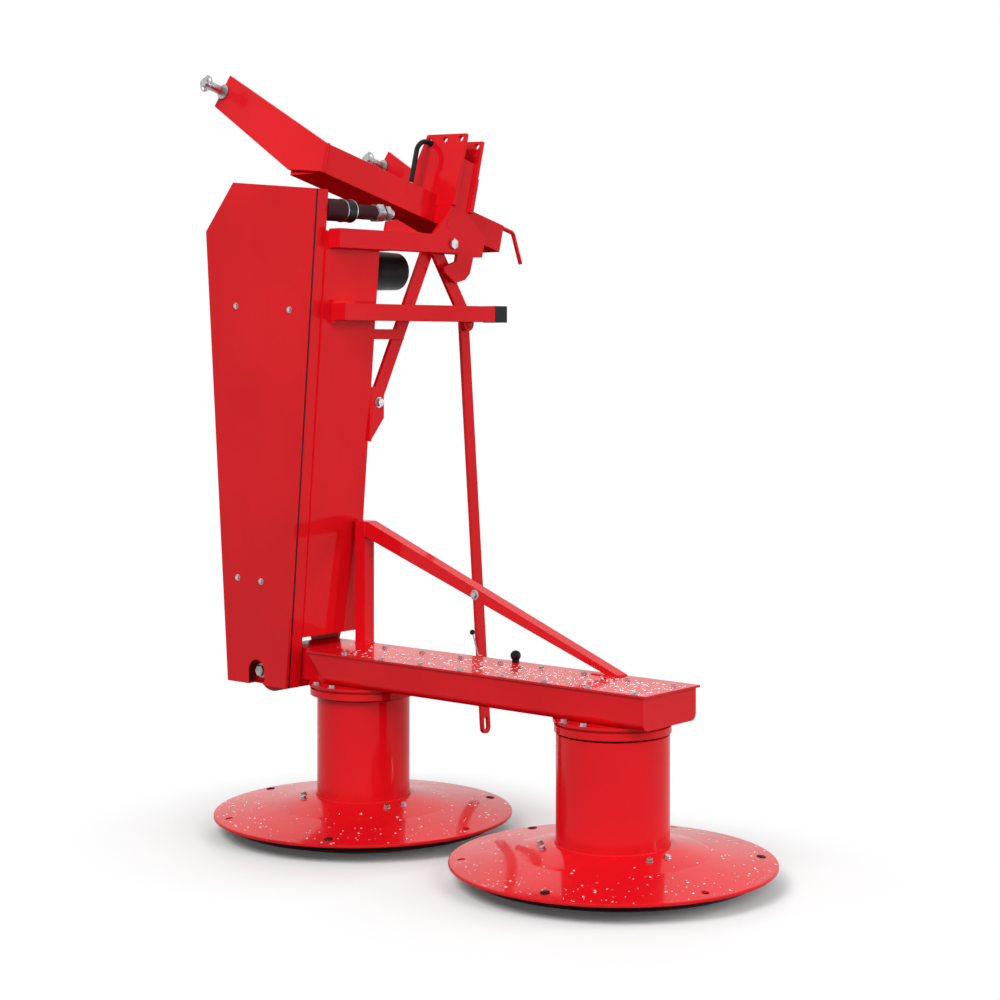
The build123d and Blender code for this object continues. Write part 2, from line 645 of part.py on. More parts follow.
def brace_bracket():
    """The plate welded to the arm's back that the strut is bolted to."""
    top_z = BRACE_END_Z + BRACKET_HEIGHT / 2
    bottom_z = BRACE_END_Z - BRACKET_HEIGHT / 2
    outline = [
        (ARM_BACK_Y, bottom_z - BRACKET_TAPER),
        (ARM_BACK_Y + BRACKET_REACH, bottom_z),
        (ARM_BACK_Y + BRACKET_REACH, top_z - BRACKET_REACH / 2),
        (ARM_BACK_Y + BRACKET_REACH / 2, top_z),
        (ARM_BACK_Y, top_z),
    ]
    return slab_yz(outline, BRACE_FRONT_X, BRACE_FRONT_X + LINK_THICK)


def cross_bar():
    """The short tie between the arm's back and the strut."""
    return block(BRACE_FRONT_X, BRACE_FRONT_X + LINK_THICK, ARM_BACK_Y, ARM_BACK_Y + CROSS_BAR_LENGTH,
                 CROSS_BAR_Z - CROSS_BAR_HEIGHT / 2, CROSS_BAR_Z + CROSS_BAR_HEIGHT / 2)


def support_seat():
    """The pad between the arm's side panel and the support tube."""
    low_z = SUPPORT_Z - SUPPORT_SEAT_HEIGHT / 2
    high_z = SUPPORT_Z + SUPPORT_SEAT_HEIGHT / 2
    outline = [
        (arm_side_x(low_z), low_z),
        (SUPPORT_BACK_X, low_z),
        (SUPPORT_BACK_X, high_z),
        (arm_side_x(high_z), high_z),
    ]
    return slab_xz(outline, SUPPORT_START_Y, SUPPORT_START_Y + SUPPORT_SEAT_LENGTH)


def support_tube():
    """The square tube that the lift rod rests behind."""
    half = SUPPORT_SIZE / 2
    front_x = SUPPORT_BACK_X + SUPPORT_SIZE
    tube = block(SUPPORT_BACK_X, front_x, SUPPORT_START_Y, SUPPORT_END_Y, SUPPORT_Z - half, SUPPORT_Z + half)
    inside = block(SUPPORT_BACK_X + TUBE_WALL, front_x - TUBE_WALL,
                   SUPPORT_START_Y - CUT_OVER, SUPPORT_END_Y + CUT_OVER,
                   SUPPORT_Z - half + TUBE_WALL, SUPPORT_Z + half - TUBE_WALL)
    return tube - inside


def support_cap():
    """The plastic cap on the support tube's end."""
    half = SUPPORT_SIZE / 2 + CAP_PROUD
    cap = block(SUPPORT_BACK_X - CAP_PROUD, SUPPORT_BACK_X + SUPPORT_SIZE + CAP_PROUD,
                SUPPORT_END_Y, SUPPORT_END_Y + CAP_LENGTH, SUPPORT_Z - half, SUPPORT_Z + half)
    return fillet(cap.faces().sort_by(Axis.Y)[-1].edges(), CAP_ROUND)


def spring_tube():
    """The break-away spring's sleeve, ring and inner tube."""
    ring_start = PLATE_BACK_Y + SPRING_SLEEVE_LENGTH
    tube_start = ring_start + SPRING_RING_LENGTH
    body = rod_y(SPRING_X, SPRING_Z, SPRING_SLEEVE_RADIUS, PLATE_BACK_Y, ring_start)
    body += rod_y(SPRING_X, SPRING_Z, SPRING_RING_RADIUS, ring_start, tube_start)
    return body + rod_y(SPRING_X, SPRING_Z, SPRING_TUBE_RADIUS, tube_start, tube_start + SPRING_TUBE_LENGTH)


def spring_bolt():
    """The adjusting nut and bolt on the end of the break-away spring."""
    start = PLATE_BACK_Y + SPRING_SLEEVE_LENGTH + SPRING_RING_LENGTH + SPRING_TUBE_LENGTH
    nut_end = start + SPRING_NUT_LENGTH
    nut = extrude(Plane((SPRING_X, start, SPRING_Z), x_dir=(1, 0, 0), z_dir=(0, 1, 0)) *
                  RegularPolygon(SPRING_NUT_RADIUS, 6), SPRING_NUT_LENGTH)
    return nut + rod_y(SPRING_X, SPRING_Z, SPRING_BOLT_RADIUS, nut_end, nut_end + SPRING_BOLT_LENGTH)


def bar_gusset():
    """The web on top of the bar beside the break-away bolt."""
    low_z = PIVOT_Z + BAR_HEIGHT / 2
    outline = [
        (GUSSET_START_Y, low_z),
        (GUSSET_START_Y + GUSSET_LENGTH, low_z),
        (GUSSET_START_Y + GUSSET_LENGTH / 3, low_z + GUSSET_HEIGHT),
        (GUSSET_START_Y + GUSSET_LEAN, low_z + GUSSET_HEIGHT * 0.8),
    ]
    middle = (BAR_BACK_X + BAR_FRONT_X) / 2
    return slab_yz(outline, middle - GUSSET_THICK / 2, middle + GUSSET_THICK / 2)


def lift_rod():
    """The long lift rod with its slotted foot."""
    body = flat_link((LEVER_END_Y, LEVER_END_Z), (ROD_END_Y, ROD_END_Z), ROD_WIDTH, LINK_PIN_RADIUS + RUN_FIT,
                     BRACE_BACK_X, BRACE_FRONT_X)
    angle = math.degrees(math.atan2(ROD_END_Z - LEVER_END_Z, ROD_END_Y - LEVER_END_Y))
    foot = Plane((BRACE_BACK_X - CUT_OVER, 0, 0), x_dir=(0, 1, 0), z_dir=(1, 0, 0)) * Pos(ROD_END_Y, ROD_END_Z)
    slot = Pos(-ROD_SLOT_LENGTH / 2 + ROD_WIDTH / 4, 0) * SlotOverall(ROD_SLOT_LENGTH, ROD_SLOT_WIDTH)
    return body - extrude(foot * Rot(0, 0, angle) * slot, amount=LINK_THICK + 2 * CUT_OVER, dir=(1, 0, 0))


# Hitch frame, in its own (X, u, m) axes about the pivot

def hitch_frame():
    """The box beam that carries the lower link arms and the mast."""
    beam = block(FRAME_BACK_X, FRAME_FRONT_X, FRAME_LEFT_U + ARM_PLATE_THICK, FRAME_RIGHT_U,
                 FRAME_BOTTOM_M, FRAME_TOP_M)
    hollow = block(FRAME_BACK_X + FRAME_WALL, FRAME_FRONT_X - FRAME_WALL,
                   FRAME_LEFT_U + ARM_PLATE_THICK - CUT_OVER, FRAME_RIGHT_U - FRAME_WALL,
                   FRAME_BOTTOM_M + FRAME_WALL, FRAME_TOP_M - FRAME_WALL)
    return beam - hollow


def link_arm(u, root_x, heel):
    """A plate that reaches out from the frame to a lower link pin."""
    slope = (ARM_TIP_M - FRAME_TOP_M) / (ARM_TIP_X - FRAME_FRONT_X)
    outline = [
        (root_x, FRAME_BOTTOM_M),
        (root_x, FRAME_TOP_M + slope * (root_x - FRAME_FRONT_X)),
        (ARM_TIP_X + ARM_TIP_SLANT, ARM_TIP_M + ARM_TIP_HALF),
        (ARM_TIP_X - ARM_TIP_SLANT, ARM_TIP_M - ARM_TIP_HALF),
        (FRAME_BACK_X - heel[0], FRAME_BOTTOM_M + heel[1]),
    ]
    face = Plane((0, u, 0), x_dir=(1, 0, 0), z_dir=(0, -1, 0)) * make_face(Polyline(*outline, close=True))
    return extrude(face, amount=ARM_PLATE_THICK, dir=(0, 1, 0))


def lower_pin(u):
    """A lower link pin with its collar, pointing away from the arm's plate."""
    x = ARM_TIP_X + LOWER_PIN_INSET
    m = ARM_TIP_M - LOWER_PIN_SHIFT
    collar = rod_y(x, m, LOWER_COLLAR_RADIUS, u - LOWER_COLLAR_LENGTH, u)
    return collar + rod_y(x, m, LOWER_PIN_RADIUS, u - LOWER_PIN_LENGTH, u - LOWER_COLLAR_LENGTH)


def mast_plate(u, lap_u):
    """A cheek of the top link mast, notched over the frame, lapped at its foot and drilled for its pin."""
    foot = [
        (MAST_BACK_X, MAST_SLANT_M),
        (MAST_BACK_X, FRAME_TOP_M),
        (FRAME_FRONT_X, FRAME_TOP_M),
        (FRAME_FRONT_X, MAST_FOOT_M),
        (MAST_FRONT_X, MAST_FOOT_M),
    ]
    top = [(MAST_FRONT_X, MAST_TOP_M - MAST_TOP_FALL), (MAST_TOP_BACK_X, MAST_TOP_M)]
    plate = slab_xz(foot + top, u, u + MAST_PLATE_THICK)
    plate += slab_xz(foot + [(MAST_FRONT_X, MAST_SLANT_M)], lap_u, lap_u + MAST_LAP)
    for index in range(MAST_HOLES):
        x = MAST_FRONT_X - MAST_HOLE_INSET - index * MAST_HOLE_PITCH
        plate -= rod_y(x, MAST_HOLE_M, MAST_HOLE_RADIUS, u - CUT_OVER, u + MAST_PLATE_THICK + CUT_OVER)
    return plate


def pivot_plate():
    """The hooked plate that hangs on the pivot bolt and stands as a web between the mast cheeks."""
    web_low = MAST_NEAR_U + MAST_PLATE_THICK
    outline = PIVOT_HOOK + [
        (MAST_FAR_U, MAST_FOOT_M),
        (MAST_FAR_U, MAST_WEB_TOP_M),
        (web_low, MAST_WEB_TOP_M),
        (web_low, MAST_FOOT_M),
        (-PIVOT_EYE_RADIUS, PIVOT_EYE_TOP),
    ]
    plate = slab_yz(outline, PIVOT_PLATE_BACK_X, PIVOT_PLATE_FRONT_X)
    return plate - rod_x(0, 0, PIVOT_RADIUS + RUN_FIT,
                         PIVOT_PLATE_BACK_X - CUT_OVER, PIVOT_PLATE_FRONT_X + CUT_OVER)


def lock_rod():
    """The bent locking rod at the frame's end."""
    x = FRAME_FRONT_X - LOCK_ROD_RADIUS
    rod_m = FRAME_TOP_M - LOCK_ROD_RADIUS
    points = [
        (x, FRAME_RIGHT_U, rod_m),
        (x, FRAME_RIGHT_U + LOCK_ROD_OUT, rod_m),
        (x, FRAME_RIGHT_U + LOCK_ROD_OUT + LOCK_ROD_SIDE, rod_m - LOCK_ROD_DROP),
    ]
    return round_bar(points, 2.5 * LOCK_ROD_RADIUS, LOCK_ROD_RADIUS)


def hose():
    """The hose that arches out of the mast cheek and down on the frame."""
    points = [
        (HOSE_X, MAST_NEAR_U, HOSE_TOP_M),
        (HOSE_X, MAST_NEAR_U - HOSE_OUT, HOSE_TOP_M),
        (HOSE_X, MAST_NEAR_U - HOSE_OUT, FRAME_TOP_M),
    ]
    return round_bar(points, 0.75 * HOSE_OUT, HOSE_RADIUS)


def build():
    """Every node of the mower by name, in the modelling frame."""
    nodes = {
        "gear_case": gear_case(),
        "gear_case_lid": gear_case_lid(),
        "bevel_housing": bevel_housing(),
        "frame_post": frame_post(),
        "frame_diagonal": frame_diagonal(),
        "breather": breather(),
    }
    for name, x, radius, first_angle in DRUMS:
        nodes[f"bearing_neck_{name}"] = bearing_neck(x)
        nodes[f"drum_{name}"] = drum(x, radius)
        nodes[f"disc_{name}"] = disc(x, radius, first_angle)
        nodes[f"knives_{name}"] = knives(x, first_angle)
        nodes[f"skid_{name}"] = skid(x)
    for piece in (belt_guard, belt_back_plate, arm_box, rear_lug, input_shaft, input_guard, head_bar, pivot_bolt,
                  lift_lever, brace, brace_bracket, cross_bar, support_seat, support_tube, support_cap,
                  spring_tube, spring_bolt, bar_gusset, lift_rod):
        nodes[piece.__name__] = piece()
    hitch_place = Pos(0, PIVOT_Y, PIVOT_Z) * Rot(-HITCH_TILT, 0, 0)
    hitch = {
        "hitch_frame": hitch_frame(),
        "link_arm_left": link_arm(FRAME_LEFT_U, FRAME_FRONT_X, ARM_HEEL_LEFT),
        "link_arm_right": link_arm(RIGHT_ARM_U, FRAME_BACK_X, ARM_HEEL_RIGHT),
        "lower_pin_left": lower_pin(FRAME_LEFT_U),
        "lower_pin_right": lower_pin(RIGHT_ARM_U),
        "mast_plate_near": mast_plate(MAST_NEAR_U, MAST_NEAR_U - MAST_LAP),
        "mast_plate_far": mast_plate(MAST_FAR_U, MAST_FAR_U + MAST_PLATE_THICK),
        "pivot_plate": pivot_plate(),
        "lock_rod": lock_rod(),
        "hose": hose(),
    }
    for name, piece in hitch.items():
        nodes[name] = hitch_place * piece
    return nodes


def main():
    """Write one file for each node, with the origin under the middle of the whole mower."""
    nodes = build()
    boxes = [piece.bounding_box() for piece in nodes.values()]
    low = [min(tuple(box.min)[i] for box in boxes) for i in range(3)]
    high = [max(tuple(box.max)[i] for box in boxes) for i in range(3)]
    shift = (-(low[0] + high[0]) / 2, -(low[1] + high[1]) / 2, -low[2])
    print("origin shift", [round(v, 3) for v in shift], "size", [round(high[i] - low[i], 1) for i in range(3)])
    os.makedirs("parts", exist_ok=True)
    for name, piece in nodes.items():
        export_step(Pos(*shift) * piece, f"parts/{name}.step")


main()
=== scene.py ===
"""Looks of the drum mower: enamel, plastics, fasteners, welds and raindrops around the fixed frame."""
import bpy
import json
import math
import random
from mathutils import Matrix, Vector


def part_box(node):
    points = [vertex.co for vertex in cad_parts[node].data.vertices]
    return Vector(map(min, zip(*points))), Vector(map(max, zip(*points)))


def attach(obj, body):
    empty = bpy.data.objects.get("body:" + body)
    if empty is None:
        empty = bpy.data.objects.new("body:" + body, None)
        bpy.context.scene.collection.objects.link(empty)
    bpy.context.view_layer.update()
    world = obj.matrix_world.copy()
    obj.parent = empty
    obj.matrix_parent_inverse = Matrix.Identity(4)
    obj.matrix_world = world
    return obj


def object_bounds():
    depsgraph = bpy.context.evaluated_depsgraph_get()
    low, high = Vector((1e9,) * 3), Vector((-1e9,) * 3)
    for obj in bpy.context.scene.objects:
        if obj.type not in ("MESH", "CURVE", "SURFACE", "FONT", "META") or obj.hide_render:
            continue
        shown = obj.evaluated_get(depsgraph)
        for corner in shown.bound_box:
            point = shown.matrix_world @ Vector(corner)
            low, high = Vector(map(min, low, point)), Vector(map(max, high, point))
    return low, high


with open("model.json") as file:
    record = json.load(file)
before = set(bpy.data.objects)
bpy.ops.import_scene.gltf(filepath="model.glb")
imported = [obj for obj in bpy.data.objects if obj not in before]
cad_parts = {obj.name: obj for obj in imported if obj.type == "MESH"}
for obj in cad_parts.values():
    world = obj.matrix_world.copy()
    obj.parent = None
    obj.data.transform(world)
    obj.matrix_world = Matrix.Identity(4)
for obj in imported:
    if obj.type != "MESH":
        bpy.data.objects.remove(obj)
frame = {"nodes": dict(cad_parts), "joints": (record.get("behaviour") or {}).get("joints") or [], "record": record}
cad_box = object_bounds()
NODES = frame["nodes"]
JOINTS = {joint["name"]: joint for joint in frame["joints"]}
MOUNTS = {mount["name"]: mount for mount in frame["record"]["mounts"]}

# Directions, and places worked out from the frame, in metres
UP = Vector((0, 0, 1))
RIGHT = Vector((1, 0, 0))
AHEAD = Vector((0, 1, 0))
DRUM_AXES = {name: Vector(JOINTS[f"drum_{name}_spin"]["pos_m"]) for name in ("inner", "outer")}
HINGE = Vector(JOINTS["arm_fold"]["pos_m"])
PIVOT = Vector(JOINTS["hitch_swing"]["pos_m"])
ROD_TOP = Vector(JOINTS["lift_rod_swing"]["pos_m"])
PINS_ALONG = -Vector(MOUNTS["lower_link_left"]["axis"])
HITCH_UP = RIGHT.cross(PINS_ALONG)
TOUCH = 0.0005            # a hair's width, for faces that meet

# Camera, at the photograph's place and level as it is there
CAMERA_PLACE = (3.895, -4.607, 1.432)
CAMERA_AZIMUTH = 40.3
CAMERA_LENS = 74.0
CAMERA_SHIFT_Y = -0.155
CAMERA_SENSOR = 36.0

# Fasteners: across flats and head height of each thread
M8 = (0.013, 0.0053)
M10 = (0.016, 0.0064)
M12 = (0.018, 0.0075)
M16 = (0.024, 0.010)
M20 = (0.030, 0.0125)
M24 = (0.036, 0.015)
WASHER_SHARE = 0.28       # thickness of a washer, as a share of the head's height
PIVOT_STUB = 0.004        # threads that stand out of their nuts
BRACE_STUB = 0.005
LID_BOLT_PITCH = 0.150
LID_BOLT_INSET = 0.014
LID_END_INSET = 0.045
COLLAR_BOLTS = 12
COLLAR_FIRST = 6.0        # in degrees, as are the turns below
COLLAR_INSET = 0.014
PAIR_FIRST = -15.0
PAIR_HALF = 9.0
PAIR_OUT = 0.042          # bolt pairs on a disc, out from its drum
PAIR_TURNS = (0, 120, 240)
KNIFE_FIRST = {"inner": -60.0, "outer": -78.0}
KNIFE_CIRCLE = 0.398
KNIFE_HEAD = 0.013
KNIVES = 3
GUARD_BOLTS = (  # X from the hinge, and height
    (-0.088, 1.550),
    (0.143, 1.536),
    (-0.080, 0.730),
    (0.022, 0.725),
)
DIAGONAL_BOLT = (0.0188, 0.714)  # X and height
SURFACE_UP = 0.5          # a face that looks up less than this carries no bolt or drop

# Small pieces of the arm, the lift rod and the hitch
LINK_HALF = 0.023         # half the width of the lever and the brace
LEVER_PIN_HEAD = 0.013
GAP_SHADE_STRIP = (0.010, 0.005)     # painted shade: a dark strip for the shadow in the gap behind the guard's folded edge; back from its face, and how wide
SPRING_RING = (-0.240, -0.202)  # from and to, along Y
SPRING_TUBE = 0.0222      # radius of the spring's thin end
SPRING_CORE = 0.6         # inside of the spring's bands, as a share of its tube
SHADE_SKIN_CORE = 0.8           # inside of the dark skin of painted shade on the thin end, as a share of that radius
SPRING_EDGE = (0.0015, 0.0025)  # bright edges of the ring: half width, and how far they stand out
SPRING_NUTS = ((0.003, 0.57, 0.030), (0.044, 0.48, 0.022))  # start on the bolt, share of its width, thickness
NUT_CHAMFER = 0.003
NUT_ENDS = (0.95, 0.9)    # radius of a nut's two ends, as a share of its middle
SPLINES = 6
SPLINE_RADIUS = 0.0028
SPLINE_LENGTH = 0.075
SPLINE_END = 0.002        # back from the shaft's end
SUPPORT_END = 0.004       # thickness of the support tube's closed end
CLIP_PATH = (  # from the free end of the wire to its ball
    (-0.4555, 0.430, 0.428),
    (-0.4530, 0.412, 0.431),
    (-0.4505, 0.400, 0.452),
    (-0.450, 0.387, 0.488),
    (-0.450, 0.379, 0.508),
)
CLIP_WIRE = 0.0021
CLIP_BALL = 0.0085
CLIP_BALL_RINGS = 10
MAST_LEG_FOOT = 0.062     # lower end of the strip between the beam's front and the pivot plate
LINCH_INSET = 0.014       # linch pins, in from the link pins' ends
LINCH_REACH = (0.022, 0.028)  # below and above the link pin's middle
LINCH_RADIUS = 0.0045
LINCH_RING = (0.0245, 0.0020)  # radius of the ring and of its wire
LINCH_RING_STEP = 0.003
# Hose fittings: shares of the hose's radius, and heights
HOSE_NUT = ((1.55, 0), (1.55, 0.009), (1.4, 0.010))
HOSE_FERRULE = ((1.22, 0.010), (1.22, 0.026), (1.08, 0.028))
HOSE_SLEEVE = ((1.25, 0), (1.25, 0.010), (1.05, 0.012))

# Welds
WELD_RADIUS = 0.0034
WELD_RIPPLE = 0.0055
WELD_STEP = 0.0011
WELD_SWELL = 0.16
DIAGONAL_WELD = 0.09      # along the diagonal's foot
POST_WELD = 0.046         # down the post's head

# Raindrops
LID_DROP_SIZES = (0.0014, 0.0034)
DISC_DROP_SIZES = (0.0011, 0.0027)
DROP_GAP = 0.0002         # how far a drop's foot stands off the face below it
DROP_DOME = ((0.92, 0.25), (0.55, 0.48))  # shares of a drop's radius: how wide, at what height
LID_DROPS = 700
DISC_DROPS = 420
LID_DROPS_OUTWARD = 0.6   # under 1, more drops lie toward the lid's outer end
DISC_DROPS_OUTWARD = 0.4  # under 1, more drops lie toward the rim
LID_EDGE = 0.008          # drops keep this far from the lid's front edge and the post's front
LID_END = 0.01            # and from the lid's outer end
DRUM_EDGE = 0.012         # and from a drum
RIM_REACH = 0.034         # drops reach this far past the knives' circle
RAIN_SEED = 11

# Paint
SCUFF_HEIGHT = 0.008      # bare steel shows on the skid bowls up to here

# Floor and light: the shadow fades into white from one distance to the other round each drum
SHADOW_REACH = (0.36, 0.90)
SHADOW_WHITE = 0.05       # share of plain white that is left where the shadow is deepest
FLOOR_BOUNCE = 0.14       # grey of the floor for the light that it throws up
FLOOR_HALF = 60.0
WORLD_LIGHT = 0.32
LAMP_TARGET = Vector((0, 0, 1.0))
LAMPS = (  # name, place, width and height, watts, seen in gloss
    ("key", (0.8, -4.8, 4.6), (3.0, 3.0), 255.0, False),
    ("side", (5.2, -1.4, 3.0), (3.0, 3.0), 125.0, False),
    ("strip", (4.0, 2.6, 1.2), (0.5, 2.6), 60.0, True),
    ("rear", (-4.0, 4.4, 3.6), (3.0, 3.0), 130.0, False),
)


# Materials

def shader(name, color, roughness, metallic=0.0):
    """A new node material with its shader's plain values set."""
    material = bpy.data.materials.new(name)
    material.use_nodes = True
    bsdf = material.node_tree.nodes["Principled BSDF"]
    bsdf.inputs["Base Color"].default_value = (*color, 1)
    bsdf.inputs["Roughness"].default_value = roughness
    bsdf.inputs["Metallic"].default_value = metallic
    return material, bsdf


def noise(tree, scale, detail=4.0, stretch=(1, 1, 1)):
    """A noise field in the part's own space."""
    coordinates = tree.nodes.new("ShaderNodeTexCoord")
    mapping = tree.nodes.new("ShaderNodeMapping")
    mapping.inputs["Scale"].default_value = stretch
    texture = tree.nodes.new("ShaderNodeTexNoise")
    texture.inputs["Scale"].default_value = scale
    texture.inputs["Detail"].default_value = detail
    tree.links.new(coordinates.outputs["Object"], mapping.inputs["Vector"])
    tree.links.new(mapping.outputs["Vector"], texture.inputs["Vector"])
    return texture.outputs["Fac"]


def ramp(tree, source, stops):
    """A colour ramp of (position, colour) stops driven by a field."""
    node = tree.nodes.new("ShaderNodeValToRGB")
    elements = node.color_ramp.elements
    while len(elements) < len(stops):
        elements.new(0.5)
    for element, (position, color) in zip(elements, stops):
        element.position = position
        element.color = (*color, 1)
    tree.links.new(source, node.inputs["Fac"])
    return node.outputs["Color"]


def grey(low, high, start, end):
    """Stops of a ramp from one grey level to another."""
    return [(start, (low,) * 3), (end, (high,) * 3)]


def math_node(tree, operation, first, second):
    """A field worked out from two others."""
    node = tree.nodes.new("ShaderNodeMath")
    node.operation = operation
    tree.links.new(first, node.inputs[0])
    tree.links.new(second, node.inputs[1])
    return node.outputs["Value"]


def mix(tree, share, first, second):
    """Blend two colours by a field."""
    node = tree.nodes.new("ShaderNodeMix")
    node.data_type = "RGBA"
    tree.links.new(share, node.inputs["Factor"])
    for socket, value in (("A", first), ("B", second)):
        target = [i for i in node.inputs if i.name == socket and i.type == "RGBA"][0]
        if isinstance(value, tuple):
            target.default_value = (*value, 1)
        else:
            tree.links.new(value, target)
    return [o for o in node.outputs if o.type == "RGBA"][0]


def bump(tree, bsdf, height, strength, distance, round_edges=0.0):
    """Surface relief, on edges that catch the light as if they were rounded."""
    node = tree.nodes.new("ShaderNodeBump")
    node.inputs["Strength"].default_value = strength
    node.inputs["Distance"].default_value = distance
    tree.links.new(height, node.inputs["Height"])
    if round_edges:
        edge = tree.nodes.new("ShaderNodeBevel")
        edge.samples = 8
        edge.inputs["Radius"].default_value = round_edges
        tree.links.new(edge.outputs["Normal"], node.inputs["Normal"])
    tree.links.new(node.outputs["Normal"], bsdf.inputs["Normal"])


def upward(tree):
    """How far a face looks up in the part's own space, from -1 below to 1 on top."""
    coordinates = tree.nodes.new("ShaderNodeTexCoord")
    split = tree.nodes.new("ShaderNodeSeparateXYZ")
    tree.links.new(coordinates.outputs["Normal"], split.inputs["Vector"])
    return split.outputs["Z"]


def spread(tree, source, start, end, low, high, style="LINEAR"):
    """A field carried from one range of values to another."""
    node = tree.nodes.new("ShaderNodeMapRange")
    node.interpolation_type = style
    for socket, value in (("From Min", start), ("From Max", end), ("To Min", low), ("To Max", high)):
        node.inputs[socket].default_value = value
    tree.links.new(source, node.inputs["Value"])
    return node.outputs["Result"]


def enamel(name, color, shade, roughness):
    """Gloss paint with a little unevenness, faint run marks and orange peel: wet on top and dull below."""
    material, bsdf = shader(name, color, roughness)
    tree = material.node_tree
    tone = ramp(tree, noise(tree, 2.6, 6.0), [(0.34, shade), (0.60, color)])
    runs = ramp(tree, noise(tree, 5.0, 5.0, (3.0, 3.0, 0.35)), grey(0, 0.35, 0.52, 0.74))
    tree.links.new(mix(tree, runs, tone, shade), bsdf.inputs["Base Color"])
    gloss = ramp(tree, noise(tree, 9.0, 8.0), grey(roughness * 0.9, roughness * 1.2, 0.3, 0.75))
    lean = upward(tree)
    dull = spread(tree, lean, -0.6, -0.15, 1.0, 0.0)
    tree.links.new(math_node(tree, "MAXIMUM", gloss, dull), bsdf.inputs["Roughness"])
    bump(tree, bsdf, noise(tree, 160.0, 3.0), 0.14, 0.0002, round_edges=0.0018)
    bsdf.inputs["Specular IOR Level"].default_value = 0.03
    sides = spread(tree, lean, -0.4, -0.05, 0.0, 0.26)
    top = spread(tree, lean, 0.3, 0.9, 0.0, 0.42)
    tree.links.new(math_node(tree, "MAXIMUM", sides, top), bsdf.inputs["Coat Weight"])
    bsdf.inputs["Coat Roughness"].default_value = 0.08
    return material


def plated(name, color, dull, roughness):
    """Zinc plate or bare steel, with a fine grain and dull patches."""
    material, bsdf = shader(name, color, roughness, metallic=1.0)
    tree = material.node_tree
    tone = ramp(tree, noise(tree, 60.0, 6.0), [(0.35, dull), (0.65, color)])
    tree.links.new(tone, bsdf.inputs["Base Color"])
    gloss = ramp(tree, noise(tree, 140.0, 4.0), grey(roughness * 0.8, roughness * 1.5, 0.3, 0.7))
    tree.links.new(gloss, bsdf.inputs["Roughness"])
    bump(tree, bsdf, noise(tree, 700.0, 2.0), 0.15, 0.0002, round_edges=0.0008)
    return material


def moulded(name, color, faded, roughness, grain):
    """Black plastic or rubber with a moulded grain and faded patches."""
    material, bsdf = shader(name, color, roughness)
    tree = material.node_tree
    tone = ramp(tree, noise(tree, 14.0, 6.0), [(0.35, color), (0.75, faded)])
    tree.links.new(tone, bsdf.inputs["Base Color"])
    gloss = ramp(tree, noise(tree, 25.0, 4.0), grey(roughness * 0.85, roughness * 1.2, 0.3, 0.7))
    tree.links.new(gloss, bsdf.inputs["Roughness"])
    bump(tree, bsdf, noise(tree, grain, 2.0), 0.3, 0.0003, round_edges=0.002)
    bsdf.inputs["Specular IOR Level"].default_value = 0.16
    return material


def skid_paint(name):
    """Dark paint on the skid bowls, scuffed to bare steel where they slide."""
    color, bare = (0.035, 0.006, 0.009), (0.20, 0.17, 0.16)
    material, bsdf = shader(name, color, 0.45)
    tree = material.node_tree
    coordinates = tree.nodes.new("ShaderNodeTexCoord")
    split = tree.nodes.new("ShaderNodeSeparateXYZ")
    tree.links.new(coordinates.outputs["Object"], split.inputs["Vector"])
    low = ramp(tree, split.outputs["Z"], [(0.0, (1, 1, 1)), (SCUFF_HEIGHT, (0, 0, 0))])
    scuff = ramp(tree, noise(tree, 30.0, 8.0), grey(0, 1, 0.45, 0.6))
    tree.links.new(mix(tree, math_node(tree, "MULTIPLY", low, scuff), color, bare), bsdf.inputs["Base Color"])
    tree.links.new(ramp(tree, noise(tree, 20.0, 5.0), grey(0.40, 0.65, 0.3, 0.7)), bsdf.inputs["Roughness"])
    bsdf.inputs["Specular IOR Level"].default_value = 0.12
    bump(tree, bsdf, noise(tree, 90.0, 4.0), 0.25, 0.0005, round_edges=0.002)
    return material


def water(name):
    """Rainwater, with a share of plain white diffuse that is a painted reflection of the sky."""
    material, bsdf = shader(name, (1.0, 1.0, 1.0), 0.02)
    # What the transmission leaves is plain white diffuse: a painted reflection of the sky.
    bsdf.inputs["Transmission Weight"].default_value = 0.78
    bsdf.inputs["IOR"].default_value = 1.33
    tree = material.node_tree
    bump(tree, bsdf, noise(tree, 400.0, 1.0), 0.05, 0.0002)
    return material


LOOKS = {
    "red_paint": enamel("enamel_red", (0.74, 0.006, 0.012), (0.66, 0.004, 0.009), 0.30),
    "black_plastic": moulded("moulded_black", (0.006, 0.006, 0.007), (0.013, 0.013, 0.014), 0.36, 900.0),
    "hose_rubber": moulded("hose_black", (0.010, 0.010, 0.010), (0.022, 0.022, 0.022), 0.50, 1400.0),
    "zinc_plate": plated("zinc", (0.54, 0.54, 0.56), (0.37, 0.37, 0.38), 0.32),
    "skid_steel": skid_paint("skid_dark"),
    "knife_steel": plated("knife", (0.30, 0.30, 0.31), (0.15, 0.14, 0.13), 0.40),
    "bare_shaft": plated("shaft", (0.40, 0.40, 0.41), (0.22, 0.21, 0.20), 0.28),
    "rain_water": water("rainwater_painted_reflection"),
}


def dress_nodes():
    """Give each CAD node the look of its material slot."""
    for part in frame["record"]["subparts"]:
        mesh = NODES[part["node"]].data
        mesh.materials.clear()
        mesh.materials.append(LOOKS[part["material_slot"]])


# Mesh pieces

